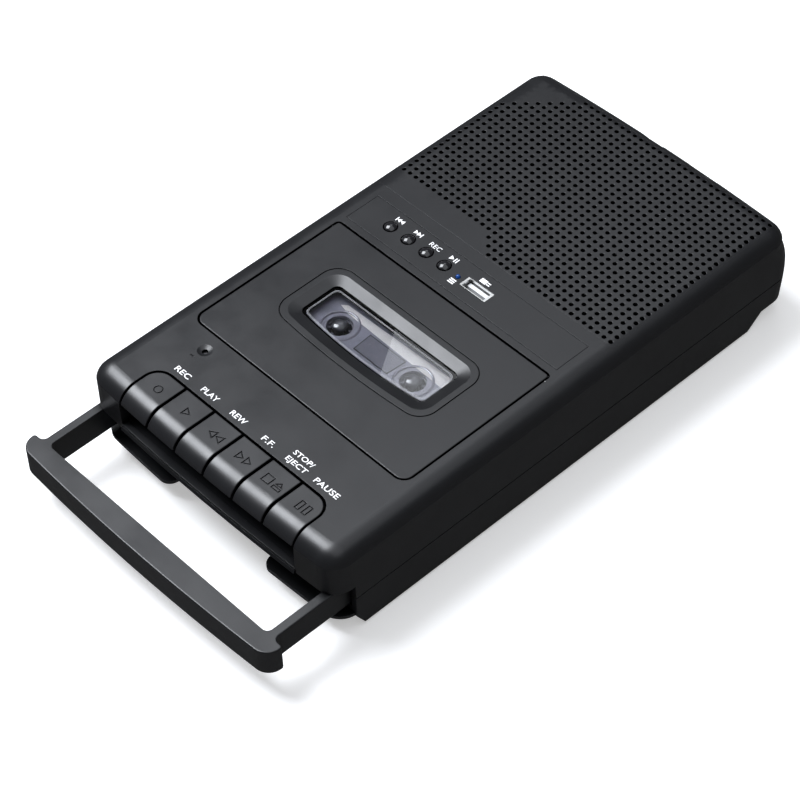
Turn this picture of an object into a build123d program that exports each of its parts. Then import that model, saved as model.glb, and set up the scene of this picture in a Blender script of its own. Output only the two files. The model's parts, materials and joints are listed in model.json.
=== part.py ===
from build123d import *
import math
import os

# Portable cassette recorder.  Millimetres, +Z up.  Origin: centre of the bounding
# box in plan, on the surface that the rubber feet stand on.  The handle is at -Y,
# the loudspeaker at +Y.  The handle is modelled pulled out.

# ---------------------------------------------------------------- driving sizes
PITCH = 3.6             # spacing of the loudspeaker perforations
HOLE_R = 0.98
BODY_W = 144.0          # width of the case
FRONT_Y = -111.2        # middle of the case's front face
BACK_Y = 146.7          # middle of the case's rear face
BOW = 2.2               # how far the front and rear faces bow out
CORNER_R = 9.5          # plan radius of the case's corners
TOP_Z = 47.0
SEAM_Z = 18.9           # joint between the two case halves
PAN_Z = 1.8             # underside of the case, above the feet
WALL = 2.2
RIM_R = 9.0             # rounding of the top edge
RIM_CUT = 0.4           # how far short of upright the rounding stops, for a crisp edge
END_Z = 8.0             # underside of the raised front and rear ends

NEST_Y = -98.6          # back wall of the handle's nest
NEST_Z = 26.2           # ceiling of the nest
LEDGE_TOP = 9.6         # upper face of the ledge under the nest
LIP_Z = 28.8            # top of the lip below the keys
LIP_OUT = 0.9           # how far the foot of the lip stands forward
SEAM_GROOVE = 0.4       # depth and height of the line where the case halves meet
BULGE = [(8.0, 1.5), (18.9, 3.1), (28.0, 3.2), (38.0, 0.0)]  # (height, swell) of the rear wall
ORIGIN_Y = -1.7         # moves the model so that the origin is its middle in plan
FINGER_HALF = 27.6      # half width of the finger cut-out in the ledge

HANDLE_Z0 = 12.9
HANDLE_Z1 = 25.9
HANDLE_HALF = 73.6
ARM_IN = 64.8           # inner and outer faces of each arm, from the centre line
ARM_OUT = 68.6
BAR_IN_Y = -136.4
BAR_OUT_Y = -146.7
BAR_BOW = 2.3
ARM_END_Y = -60.0

KEY_PITCH = 16.9
KEY_GAP = 1.2           # gap between neighbouring keys
KEY_BACK_Y = -89.6
KEY_UNDER_Z = 40.9
LEVER_HALF = 4.0
KEY_ROUND = 7.0         # outer rear corners of the first and last key
POCKET_GAP = 1.0
PIVOT_Y = -70.0
PIVOT_Z = 34.5
SHAFT_R = 2.0

DOOR_X = 60.6
DOOR_Y0 = -62.3
DOOR_Y1 = 15.3
DOOR_GAP = 0.9
BUTTON_R = 2.7
BUTTON_HOLE_R = 3.1
HINGE_Y = 12.8
HINGE_Z = 45.4
HINGE_R = 0.8

PANEL_Y0 = 19.5         # control strip between door and loudspeaker
PANEL_Y1 = 37.4
PANEL_T = 0.8

HUB_X = 21.25           # compact cassette: hubs 42.5 apart
HUB_Y = -20.5
CAS_W = 100.4
CAS_Y0 = HUB_Y - 34.8
CAS_Y1 = CAS_Y0 + 63.8
CAS_Z0 = 31.3
CAS_Z1 = 40.0
CAS_THICK = 1.6         # extra thickness each side of the part that the heads enter
CAS_THICK_LEN = 13.5

PLATE_Z = 26.0          # underside of the steel chassis plate
PLATE_T = 1.2
CAPSTAN_X = 26.0
CAPSTAN_Y = -51.75
CAPSTAN_R = 1.0
MOTOR_X = -36.0
MOTOR_Y = -46.0
PULLEY_R = 4.0
FLYWHEEL_R = 17.0
BELT_T = 1.2
BELT_Z = 14.0

CONE_Y = 92.0           # loudspeaker centre
CONE_R = 38.5
RUN = 0.05              # radial clearance of a running fit
EPS = 0.01

CASE_SCREWS = [(-32, -92.4), (32, -92.4), (-65.8, -19), (65.8, -19), (-58, 134), (58, 134)]
BOSS_R = 3.6
FEET = [(-56, -80), (56, -80), (-56, 112), (56, 112)]
SIDE_JACKS = [("microphone_jack", 73.0), ("earphone_jack", 86.0)]
JACK_Z = 28.5
JACK_R = 1.78
DC_Y = 99.0
DC_R = 2.8
WHEEL_X = -62.6
WHEEL_Y = 38.0
WHEEL_R = 11.0
WHEEL_Z0 = 26.6
WHEEL_Z1 = 30.4
MIC_X = -44.2
MIC_Y = -71.1
BAY_X = 30.0
BAY_Y0 = 64.0
BAY_Y1 = 119.0
BAY_TOP = 19.4
CELL_R = 7.1
CELL_LEN = 50.0
PLATE_POSTS = [(-53, -50), (53, -50), (-53, 9), (53, 9)]
KEYS = ["key_record", "key_play", "key_rewind", "key_fast_forward", "key_stop_eject", "key_pause"]
SIGN_Y = -97.5          # middle of the signs engraved on the keys
SIGN_H = 4.4
SIGN_LINE = 0.5
SIGN_DEPTH = 0.35
WINDOW_HALF = 34.0
WINDOW_Y0 = -29.8
WINDOW_Y1 = -9.8
WINDOW_BOW = 2.2
GLASS_Z1 = 45.0
GLASS_T = 1.5
BUTTONS = ["button_previous", "button_next", "button_record", "button_play_pause"]
BRIDGE_Z = PLATE_Z + PLATE_T + 0.2
BRIDGE_T = 1.2
BRIDGE_TRAVEL = 3.0
ROLLER_R = 5.0
ROLLER_Y = CAPSTAN_Y - CAPSTAN_R - ROLLER_R - BRIDGE_TRAVEL - RUN
HEAD_TOP = 39.6


# ---------------------------------------------------------------- small helpers
def block(x0, x1, y0, y1, z0, z1):
    """A box between two corners."""
    centre = Pos((x0 + x1) / 2, (y0 + y1) / 2, (z0 + z1) / 2)
    return centre * Box(x1 - x0, y1 - y0, z1 - z0)


def post(x, y, z0, z1, r):
    """An upright cylinder."""
    return Pos(x, y, (z0 + z1) / 2) * Cylinder(r, z1 - z0)


def bar_x(x0, x1, y, z, r):
    """A cylinder along X."""
    return Pos((x0 + x1) / 2, y, z) * Rot(0, 90, 0) * Cylinder(r, x1 - x0)


def bar_y(x, y0, y1, z, r):
    """A cylinder along Y."""
    return Pos(x, (y0 + y1) / 2, z) * Rot(90, 0, 0) * Cylinder(r, y1 - y0)


def prism(face, z0, z1):
    """A plan face made solid between two heights."""
    return Pos(0, 0, z0) * extrude(face, z1 - z0)


def side_prism(points, x0, x1):
    """A (y, z) polygon made solid between two x places."""
    face = Plane.YZ * make_face(Polyline(*points, close=True))
    return Pos(x0, 0, 0) * extrude(face, x1 - x0)


def bowed_face(half, front, back, bow_front, bow_back, r_front, r_back):
    """A plan outline with straight sides and bowed ends."""
    edges = [
        ThreePointArc((-half, front + bow_front), (0, front), (half, front + bow_front))
        if bow_front else Line((-half, front), (half, front)),
        Line((half, front + bow_front), (half, back - bow_back)),
        ThreePointArc((half, back - bow_back), (0, back), (-half, back - bow_back))
        if bow_back else Line((half, back), (-half, back)),
        Line((-half, back - bow_back), (-half, front + bow_front)),
    ]
    face = make_face(edges)
    corners = face.vertices().sort_by(Axis.Y)
    face = fillet(corners[:2], r_front)
    return fillet(face.vertices().sort_by(Axis.Y)[-2:], r_back)


def case_outline(grow=0.0):
    """The case in plan, grown outwards."""
    r = CORNER_R + grow
    return bowed_face(BODY_W / 2 + grow, FRONT_Y - grow, BACK_Y + grow, BOW, BOW, r, r)


def rounded_case(grow, z0, z1, rim_r, rim_cut):
    """The case's upright walls under a top with a rounded rim."""
    solid = prism(case_outline(grow + rim_cut), z0, z1)
    top_edges = solid.faces().sort_by(Axis.Z)[-1].edges()
    solid = fillet(top_edges, rim_r)
    return solid & prism(case_outline(grow), z0, z1)


def rounded_rect(x0, x1, y0, y1, r):
    """A plan rectangle with round corners."""
    return Pos((x0 + x1) / 2, (y0 + y1) / 2) * RectangleRounded(x1 - x0, y1 - y0, r)


def ring(x, y, z0, z1, r_out, r_in):
    """An upright tube."""
    return post(x, y, z0, z1, r_out) - post(x, y, z0 - 1, z1 + 1, r_in)


def save(node, solid):
    """Write one node's solids."""
    solid = Pos(0, ORIGIN_Y, 0) * solid
    solid.label = node
    export_step(solid, f"parts/{node}.step")


# ---------------------------------------------------------------- case
def seam_plan(grow):
    """The case in plan at its seam, where the rear wall is swollen."""
    r = CORNER_R + grow
    back = BACK_Y + BULGE[1][1] + grow
    return bowed_face(BODY_W / 2 + grow, FRONT_Y - grow, back, BOW, BOW, r, r)


def seam_groove(z0, z1):
    """The ring that is cut away round the case at its seam."""
    return prism(seam_plan(1), z0, z1) - prism(seam_plan(-SEAM_GROOVE), z0 - 1, z1 + 1)


def swollen_rear(grow, z0, z1):
    """The rear end of the case, whose wall swells between the rim and the foot."""
    half = BODY_W / 2 + grow
    r = CORNER_R + grow
    sections = []
    for z, swell in BULGE:
        plan = bowed_face(half, FRONT_Y, BACK_Y + grow + swell, BOW, BOW, r, r)
        sections.append(Plane.XY.offset(z) * plan)
    return loft(sections) & block(-80, 80, BACK_Y - 16, 200, z0, z1)


def top_skin():
    """The hollow upper case before its openings are cut."""
    outer = rounded_case(0, SEAM_Z, TOP_Z, RIM_R, RIM_CUT) + swollen_rear(0, SEAM_Z, TOP_Z)
    inner = rounded_case(-WALL, SEAM_Z - 1, TOP_Z - WALL, RIM_R - WALL, RIM_CUT)
    return outer - inner - swollen_rear(-WALL, SEAM_Z - 1, 36)


def key_bank_plan(grow):
    """Plan of the row of keys, grown outwards, open at the front."""
    half = KEY_PITCH * 3 - KEY_GAP / 2 + grow
    face = rounded_rect(-half, half, -150, KEY_BACK_Y + grow, KEY_ROUND + grow)
    return face


def grille_region():
    """The part of the top that carries the perforations."""
    return block(-66.6, 66.6, 43.6, 140.8, TOP_Z - 8, TOP_Z + 1)


def grille_holes():
    """Centres of the perforations: a square lattice with three clipped corners."""
    centres = []
    for col in range(-18, 19):
        for row in range(27):
            left = col + 18
            if row < 3 - left:
                continue
            if left < 7 and row > 26 - (7 - left):
                continue
            if left < 14 and row < 3:
                continue
            if left in (14, 15, 16) and row < 17 - left:
                continue
            centres.append((col * PITCH, 45.4 + row * PITCH))
    return centres


def door_plan(grow):
    """Plan of the cassette door."""
    return bowed_face(DOOR_X + grow, DOOR_Y0 - grow, DOOR_Y1 + grow, 0, 0, 4.5 + grow, 1.5 + grow)


def control_places():
    """Centres of the four buttons, the lamp and the USB socket."""
    buttons = [(-43.5 + 10.57 * i, 28.4) for i in range(4)]
    return buttons, (-3.2, 27.8), (7.2, 28.2)


def cut_controls(solid, margin):
    """Holes for the buttons, lamp and USB socket."""
    buttons, lamp, usb = control_places()
    for x, y in buttons:
        solid -= post(x, y, TOP_Z - 6, TOP_Z + 1, BUTTON_HOLE_R + margin)
    solid -= post(*lamp, TOP_Z - 6, TOP_Z + 1, 1.0 + margin)
    x, y = usb
    solid -= block(x - 7.15 - margin, x + 7.15 + margin, y - 2.8 - margin, y + 2.8 + margin,
                   TOP_Z - 6, TOP_Z + 1)
    return solid


def make_top_shell():
    skin = top_skin()
    grille = skin & grille_region()
    shell = skin - grille_region()

    # handle nest: a ceiling and a back wall, with slots for the arms
    body = prism(case_outline(-WALL / 2), SEAM_Z, TOP_Z)
    shell -= block(-80, 80, -120, NEST_Y, 0, NEST_Z)
    ceiling = block(-80, 80, -120, NEST_Y + WALL, NEST_Z, NEST_Z + 2)
    back_wall = block(-80, 80, NEST_Y, NEST_Y + WALL, SEAM_Z, NEST_Z + 2)
    shell += (ceiling + back_wall) & body
    for s in (-1, 1):
        x = s * (ARM_IN + ARM_OUT) / 2
        shell -= block(x - 2.4, x + 2.4, NEST_Y - 1, NEST_Y + WALL + 1, 0, NEST_Z)

    # pocket for the keys, a lip with a sloping foot, and a side cheek at each end
    shell -= prism(key_bank_plan(POCKET_GAP), LIP_Z, TOP_Z + 1)
    lip_half = KEY_PITCH * 3 + POCKET_GAP - KEY_GAP / 2
    foot = loft([Plane.XY.offset(NEST_Z) * case_outline(LIP_OUT), Plane.XY.offset(LIP_Z) * case_outline()])
    foot &= block(-lip_half, lip_half, -120, FRONT_Y + BOW + 1.4, NEST_Z, LIP_Z)
    line = prism(case_outline(1), LIP_Z - 0.9, LIP_Z - 0.55) - prism(case_outline(-0.3), 0, TOP_Z)
    shell += foot - line
    inside = rounded_case(-0.6, SEAM_Z, TOP_Z - 0.6, RIM_R - 0.6, RIM_CUT)
    for s in (-1, 1):
        cheek = block(lip_half, lip_half + 1.6, NEST_Y - 10, KEY_BACK_Y - 6, NEST_Z + 1, TOP_Z - 1)
        cheek &= inside
        shell += cheek if s > 0 else mirror(cheek, about=Plane.YZ)

    # cassette well: opening and three walls
    shell -= prism(door_plan(DOOR_GAP), TOP_Z - 6, TOP_Z + 1)
    well_x = DOOR_X + DOOR_GAP
    well_y = DOOR_Y1 + DOOR_GAP
    for s in (-1, 1):
        wall = block(well_x, well_x + 1.6, -40, well_y + 1.6, 36, TOP_Z - 1)
        boss = block(well_x, well_x + 3.4, HINGE_Y - 3, HINGE_Y + 3, 40, TOP_Z - 1)
        side = wall + boss
        side -= bar_x(well_x - 1, well_x + 3, HINGE_Y, HINGE_Z, HINGE_R)
        shell += side if s > 0 else mirror(side, about=Plane.YZ)
        hole = bar_x(well_x - 1, well_x + 2.6, HINGE_Y, HINGE_Z, HINGE_R)
        shell -= hole if s > 0 else mirror(hole, about=Plane.YZ)
    shell += block(-well_x, well_x, well_y, well_y + 1.6, 36, TOP_Z - 1)

    # control strip: shallow seat and the holes through it
    shell -= block(-60.6, 60.6, PANEL_Y0, PANEL_Y1, TOP_Z - PANEL_T, TOP_Z + 1)
    shell = cut_controls(shell, 0.3)

    # microphone: a shallow dish and its sound hole
    dish_r = (3.2 ** 2 + 0.9 ** 2) / 1.8
    shell -= Pos(MIC_X, MIC_Y, TOP_Z - 0.9 + dish_r) * Sphere(dish_r)
    shell -= post(MIC_X, MIC_Y, TOP_Z - 4, TOP_Z + 1, 1.25)

    # left side: jack holes and the slot for the volume wheel
    for _, y in SIDE_JACKS:
        shell -= bar_x(-76, -66, y, JACK_Z, 3.2)
    shell -= bar_x(-76, -66, DC_Y, JACK_Z, 4.2)
    shell -= block(-76, -66, WHEEL_Y - 10, WHEEL_Y + 10, WHEEL_Z0 - 0.6, WHEEL_Z1 + 0.6)

    # screw bosses that meet the lower case at the seam
    for x, y in CASE_SCREWS:
        boss_top = NEST_Z + 1 if y < NEST_Y + 10 else 40.0
        boss = post(x, y, SEAM_Z, boss_top, BOSS_R)
        if y < NEST_Y + 10:
            boss += block(x - BOSS_R, x + BOSS_R, NEST_Y + 1, y, SEAM_Z, boss_top)
        else:
            wall_x = BODY_W / 2 - WALL / 2
            boss += block(min(x, wall_x * x / abs(x)), max(x, wall_x * x / abs(x)), y - 1, y + 1,
                          SEAM_Z, boss_top)
        shell += boss
        shell -= post(x, y, SEAM_Z - 1, SEAM_Z + 6.5, 1.4)
    shell -= seam_groove(SEAM_Z - 1, SEAM_Z + SEAM_GROOVE / 2)
    return shell, grille


def make_grille(grille):
    lattice = [Pos(x, y, 0) for x, y in grille_holes()]
    discs = Sketch() + [place * Circle(HOLE_R) for place in lattice]
    return grille - Pos(0, 0, TOP_Z - 8) * extrude(discs, 10)


def bottom_profile(inset):
    """Side view of the lower case as (y, z) points, moved inwards by the wall."""
    end = END_Z + inset
    pan = PAN_Z + inset
    return [(NEST_Y + inset, SEAM_Z + (1 if inset else 0)), (NEST_Y + inset, end),
            (-94.8 + inset, pan), (121.7 - inset, pan), (129.6 - inset, end),
            (160, end), (160, SEAM_Z + (1 if inset else 0))]


def make_bottom_shell():
    plan = prism(case_outline(), 0, SEAM_Z)
    hollow_plan = prism(case_outline(-WALL), 0, SEAM_Z + 1)
    plan += swollen_rear(0, END_Z, SEAM_Z)
    hollow_plan += swollen_rear(-WALL, END_Z, SEAM_Z + 1)
    shell = side_prism(bottom_profile(0), -80, 80) & plan
    shell -= side_prism(bottom_profile(WALL), -80, 80) & hollow_plan

    # ledge under the handle's nest, cut away for the fingers
    ledge = prism(bowed_face(BODY_W / 2 - 1, FRONT_Y + 2.6, -80, BOW, 0, CORNER_R, 1), END_Z, LEDGE_TOP)
    ledge &= block(-80, 80, -120, NEST_Y + 1, 0, 20)
    ledge -= prism(rounded_rect(-FINGER_HALF, FINGER_HALF, -130, NEST_Y, 6), 0, 20)
    shell += ledge
    corners = shell.edges().filter_by(Axis.Z).filter_by_position(Axis.Y, -110, -103)
    inner = [e for e in corners if abs(abs(e.center().X) - FINGER_HALF) < 1]
    shell = fillet(inner, 5.0)
    for s in (-1, 1):
        x = s * (ARM_IN + ARM_OUT) / 2
        shell -= block(x - 2.4, x + 2.4, NEST_Y - 1, NEST_Y + WALL + 1, HANDLE_Z0 - 0.6, 30)

    # screw towers with countersunk mouths
    for x, y in CASE_SCREWS:
        foot = PAN_Z if y < 120 else END_Z
        shell += post(x, y, foot, SEAM_Z, BOSS_R)
        shell -= post(x, y, foot - 1, foot + 6, 3.0)
        shell -= post(x, y, foot - 1, SEAM_Z + 1, 1.6)

    # battery bay in the floor
    shell -= block(-BAY_X, BAY_X, BAY_Y0, BAY_Y1, 0, PAN_Z + WALL + 1)
    frame = block(-BAY_X - 1.6, BAY_X + 1.6, BAY_Y0 - 1.6, BAY_Y1 + 1.6, PAN_Z + WALL, BAY_TOP + 1.6)
    shell += frame - block(-BAY_X, BAY_X, BAY_Y0, BAY_Y1, 0, BAY_TOP)
    shell -= block(-BAY_X - 3, BAY_X + 3, BAY_Y0 - 3, BAY_Y1 + 20, 0, PAN_Z + 1.5)

    # posts that carry the chassis plate
    for x, y in PLATE_POSTS:
        shell += post(x, y, PAN_Z + 1, PLATE_Z, 3.5) - post(x, y, 15, PLATE_Z + 1, 1.2)
    shell -= seam_groove(SEAM_Z - SEAM_GROOVE / 2, SEAM_Z + 1)
    return shell


# ---------------------------------------------------------------- handle
def make_handle():
    bar = bowed_face(HANDLE_HALF, BAR_OUT_Y, BAR_IN_Y, BAR_BOW, 0, 7.0, 1.2)
    plan = bar
    for s in (-1, 1):
        mid = s * (ARM_IN + ARM_OUT) / 2
        width = ARM_OUT - ARM_IN
        length = ARM_END_Y - BAR_IN_Y + 4
        plan += Pos(mid, ARM_END_Y - length / 2) * Rectangle(width, length)
    roots = plan.vertices().filter_by_position(Axis.Y, BAR_IN_Y - 0.1, BAR_IN_Y + 0.1)
    roots = [v for v in roots if abs(abs(v.X) - ARM_IN) < 0.1 or abs(abs(v.X) - ARM_OUT) < 0.1]
    plan = fillet(roots, 2.6)
    solid = prism(plan, HANDLE_Z0, HANDLE_Z1)
    outer = [e for e in solid.edges() if e.center().Y < BAR_IN_Y - 0.5 and abs(e.center().Z - 19.4) > 6]
    top = [e for e in outer if e.center().Z > 20]
    solid = fillet(top, 0.6)
    low = [e for e in solid.edges() if e.center().Y < BAR_IN_Y - 4 and e.center().Z < HANDLE_Z0 + 0.1]
    solid = fillet(low, 1.2)
    # inward stops that meet the nest's back wall when the handle is out
    for s in (-1, 1):
        stop = block(ARM_IN - 2.6, ARM_IN, NEST_Y + WALL + 0.2, NEST_Y + WALL + 5.2, 14.5, 18.5)
        solid += stop if s > 0 else mirror(stop, about=Plane.YZ)
    return solid


# ---------------------------------------------------------------- keys


def outlined(face):
    """The engraved line just inside a sign's outline."""
    return face - offset(face, -SIGN_LINE)


def arrow(x, length, height=SIGN_H, y=SIGN_Y, turn=0):
    """A triangle from x, pointing to +X, or upwards with a quarter turn."""
    points = [(-length / 2, -height / 2), (length / 2, 0), (-length / 2, height / 2)]
    face = make_face(Polyline(*points, close=True))
    return Pos(x, y) * Rot(0, 0, turn) * face


def key_sign(i):
    """The engraved sign of each key, as thin outlines."""
    centre = (i - 2.5) * KEY_PITCH
    if i == 0:
        shapes = [Pos(centre + 1.1, SIGN_Y) * Circle(SIGN_H / 2 - 0.2)]
    elif i == 1:
        shapes = [arrow(centre + 1.5, 3.8)]
    elif i == 2:
        shapes = [arrow(centre - 0.7, 3.8, turn=180), arrow(centre + 3.3, 3.8, turn=180)]
    elif i == 3:
        shapes = [arrow(centre - 0.9, 3.7), arrow(centre + 3.4, 3.7)]
    elif i == 4:
        shapes = [Pos(centre - 2.0, SIGN_Y) * Rectangle(SIGN_H, SIGN_H),
                  Pos(centre + 3.7, SIGN_Y - 1.15) * Rectangle(SIGN_H, 1.8),
                  arrow(centre + 3.7, 2.2, SIGN_H, SIGN_Y + 1.2, 90)]
    else:
        shapes = [Pos(centre - 0.7, SIGN_Y) * Rectangle(2.4, SIGN_H + 0.4),
                  Pos(centre + 3.1, SIGN_Y) * Rectangle(2.4, SIGN_H + 0.4)]
    return [outlined(shape) for shape in shapes]


def upright(edge):
    """True for an edge along Z."""
    return abs((edge % 0.5).Z) > 0.99


def make_key(i):
    x0 = (i - 3) * KEY_PITCH + KEY_GAP / 2
    x1 = x0 + KEY_PITCH - KEY_GAP
    mid = (x0 + x1) / 2
    envelope = rounded_case(0, SEAM_Z, TOP_Z, RIM_R, RIM_CUT)
    cap = envelope & prism(key_bank_plan(0), KEY_UNDER_Z, TOP_Z)
    cap &= block(x0, x1, -120, 0, KEY_UNDER_Z, TOP_Z)
    crest = [e for e in cap.edges() if e.center().Z > KEY_UNDER_Z + 1 and not upright(e)]
    cap = fillet(crest, 0.4)
    for sign in key_sign(i):
        cap -= Pos(0, 0, TOP_Z - SIGN_DEPTH) * extrude(sign, 1)
    cap -= block(x0 + 1.8, x1 - 1.8, -107, KEY_BACK_Y - 2, KEY_UNDER_Z - 1, TOP_Z - 2.4)
    lever = side_prism([(-106, KEY_UNDER_Z + 3), (-106, KEY_UNDER_Z - 0.4), (-92, 33.5), (PIVOT_Y, 31.5),
                        (PIVOT_Y, 37.5), (-84, 38.5), (KEY_BACK_Y + 0.5, 41), (KEY_BACK_Y - 2, TOP_Z - 2.2),
                        (-106, TOP_Z - 2.2)], mid - LEVER_HALF, mid + LEVER_HALF)
    lever += bar_x(mid - 4, mid + 4, PIVOT_Y, PIVOT_Z, 3.5)
    return cap + lever - bar_x(mid - 5, mid + 5, PIVOT_Y, PIVOT_Z, SHAFT_R + RUN)


def make_key_springs():
    """Return springs: three turns on the shaft beside each key's hub."""
    turns = []
    for i in range(6):
        mid = (i - 2.5) * KEY_PITCH
        for turn in range(3):
            place = Pos(mid + 5.2 + turn * 0.95, PIVOT_Y, PIVOT_Z) * Rot(0, 90, 0)
            turns.append(place * Torus(3.0, 0.42))
    return Compound(turns)


def make_key_shaft():
    shaft = bar_x(-56, 56, PIVOT_Y, PIVOT_Z, SHAFT_R)
    return shaft


def make_key_brackets():
    """Folded steel ears that carry the ends of the key shaft."""
    ears = []
    for s in (-1, 1):
        ear = block(s * 54 - 0.6, s * 54 + 0.6, PIVOT_Y - 4, -58, PLATE_Z + PLATE_T, PIVOT_Z + 4)
        ears.append(ear - bar_x(s * 54 - 2, s * 54 + 2, PIVOT_Y, PIVOT_Z, SHAFT_R))
    return ears


# ---------------------------------------------------------------- door


def window_plan(grow, r):
    """The window's outline: straight at the hinge side, bowed towards the keys."""
    return bowed_face(WINDOW_HALF + grow, WINDOW_Y0 - grow, WINDOW_Y1 + grow, WINDOW_BOW, 0, r, r)


def outside_window(point):
    """True for a point of the door's own rim, away from the window's surround."""
    inside = abs(point.X) < WINDOW_HALF + 12 and WINDOW_Y0 - 14 < point.Y < WINDOW_Y1 + 12
    return not inside


def make_door():
    z_under = TOP_Z - WALL
    panel = prism(door_plan(0), z_under, TOP_Z)
    pad = prism(window_plan(11.0, 10.0) & door_plan(-1.2), 42.6, z_under + EPS)
    panel += pad
    # dished surround of the window
    dish = loft([Plane.XY.offset(TOP_Z + 0.02) * window_plan(6.4, 7.0),
                 Plane.XY.offset(TOP_Z - 1.4) * window_plan(1.4, 3.0)])
    panel -= dish
    ring_line = prism(window_plan(9.5, 9.0), TOP_Z - 0.4, TOP_Z + 1) - prism(window_plan(9.0, 8.5), 40, 50)
    panel -= ring_line
    rim = [e for e in panel.edges() if e.center().Z > TOP_Z - EPS and outside_window(e.center())]
    panel = fillet(rim, 0.35)
    panel -= prism(window_plan(0.0, 2.4), 40, TOP_Z)
    panel -= prism(window_plan(1.4, 3.0), GLASS_Z1 - GLASS_T, GLASS_Z1)
    panel -= prism(window_plan(1.4, 3.0), GLASS_Z1 - EPS, TOP_Z - 1.4 + EPS)
    for s in (-1, 1):
        knuckle = block(DOOR_X - 6, DOOR_X, HINGE_Y - 2.4, HINGE_Y + 2.4, 42.6, TOP_Z - 0.5)
        panel += knuckle if s > 0 else mirror(knuckle, about=Plane.YZ)
        hole = bar_x(DOOR_X - 5, DOOR_X + 1, HINGE_Y, HINGE_Z, HINGE_R + RUN)
        panel -= hole if s > 0 else mirror(hole, about=Plane.YZ)
    # tab that the latch holds
    panel += block(44, 53, DOOR_Y0 + 1.5, DOOR_Y0 + 3.0, 40.2, z_under + EPS)
    return panel


def make_window():
    return prism(window_plan(1.35, 2.95), GLASS_Z1 - GLASS_T, GLASS_Z1)


def make_hinge_pins():
    x = DOOR_X + DOOR_GAP + 2.6
    pin = bar_x(DOOR_X - 4.6, x, HINGE_Y, HINGE_Z, HINGE_R)
    return [pin, mirror(pin, about=Plane.YZ)]


def make_pressure_springs():
    """Leaf springs under the door that steady the cassette."""
    z = TOP_Z - WALL
    strip = [(12.4, z), (9.4, z), (5.0, 41.2), (3.4, 41.2), (2.0, 42.0),
             (2.0, 41.6), (3.3, 40.8), (5.1, 40.8), (9.5, z - 0.4), (12.4, z - 0.4)]
    return [side_prism(strip, x - 3, x + 3) for x in (-30, 30)]


# ---------------------------------------------------------------- controls


def make_control_panel():
    panel = block(-60.45, 60.45, PANEL_Y0 + 0.15, PANEL_Y1 - 0.15, TOP_Z - PANEL_T, TOP_Z)
    return cut_controls(panel, 0.12)


def make_button(place):
    x, y = place
    dome_r = (BUTTON_R ** 2 + 1.1 ** 2) / 2.2
    body = post(x, y, TOP_Z - 2.5, TOP_Z + 3, BUTTON_R) & Pos(x, y, TOP_Z + 1.3 - dome_r) * Sphere(dome_r)
    stem = post(x, y, 42.9, TOP_Z - 2.0, 1.6)
    flange = post(x, y, 43.3, TOP_Z - WALL - 0.3, 3.8)
    return body + stem + flange


def make_button_board():
    buttons, lamp, usb = control_places()
    board = block(-52, 18, 21.5, 36, 37.2, 38.8)
    ux, uy = usb
    board -= block(ux - 6.6, ux + 6.6, uy - 3.0, uy + 3.0, 30, 50)
    solids = [board]
    for x, y in buttons:
        solids.append(block(x - 3, x + 3, y - 3, y + 3, 38.8, 42.3))
    x, y = lamp
    solids.append(block(x - 1.4, x + 1.4, y - 1.4, y + 1.4, 38.8, 43.0))
    return Compound(solids)


def make_led():
    x, y = control_places()[1]
    return post(x, y, 43.0, TOP_Z + 0.1, 0.98) + Pos(x, y, TOP_Z + 0.1) * (
        Sphere(0.98) & Pos(0, 0, 1) * Box(4, 4, 2))


def make_usb():
    x, y = control_places()[2]
    shell = block(x - 6.5, x + 6.5, y - 2.85, y + 2.85, 33.5, TOP_Z - 0.2)
    shell -= block(x - 6.15, x + 6.15, y - 2.5, y + 2.5, 35.0, TOP_Z + 1)
    flange = block(x - 7.15, x + 7.15, y - 2.8, y + 2.8, TOP_Z - 0.5, TOP_Z)
    flange -= block(x - 6.15, x + 6.15, y - 2.5, y + 2.5, TOP_Z - 2, TOP_Z + 1)
    tongue = block(x - 5.5, x + 5.5, y + 0.1, y + 1.95, 35.0, TOP_Z - 1.8)
    return shell + flange, tongue


# ---------------------------------------------------------------- cassette
def make_cassette():
    shell = block(-CAS_W / 2, CAS_W / 2, CAS_Y0, CAS_Y1, CAS_Z0, CAS_Z1)
    thick = prism(make_face(Polyline((-36, CAS_Y0), (36, CAS_Y0), (33, CAS_Y0 + CAS_THICK_LEN),
                                     (-33, CAS_Y0 + CAS_THICK_LEN), close=True)),
                  CAS_Z0 - CAS_THICK, CAS_Z1 + CAS_THICK)
    shell += thick
    shell -= block(-CAS_W / 2 + 1.5, CAS_W / 2 - 1.5, CAS_Y0 + 14, CAS_Y1 - 1.5, CAS_Z0 + 1.2, CAS_Z1 - 1.2)
    for s in (-1, 1):
        shell -= post(s * HUB_X, HUB_Y, 20, 50, 5.6)
        shell -= block(s * CAPSTAN_X - 8.4, s * CAPSTAN_X + 8.4, CAS_Y0 - 1, CAS_Y0 + 8, 31.0, 40.3)
        shell -= post(s * CAPSTAN_X, CAPSTAN_Y, 20, 50, 3.2)
    shell -= block(-9, 9, CAS_Y0 - 1, CAS_Y0 + 9, 31.0, 40.3)
    shell -= block(-16.5, -11.5, CAS_Y0 - 1, CAS_Y0 + 6, 31.0, 40.3)
    return shell


def make_hub(s):
    """A toothed cassette hub that stands round its spindle."""
    hub = ring(s * HUB_X, HUB_Y, CAS_Z0 + 1.6, CAS_Z1 - 1.6, 10.8, 5.0)
    for k in range(6):
        tooth = Pos(s * HUB_X, HUB_Y, 0) * Rot(0, 0, 60 * k + 30) * block(3.7, 5.4, -0.6, 0.6,
                                                                         CAS_Z0 + 1.6, CAS_Z1 - 1.6)
        hub += tooth
    return hub


def make_tape(s, r):
    return ring(s * HUB_X, HUB_Y, 33.75, 37.55, r, 10.8)


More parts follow.
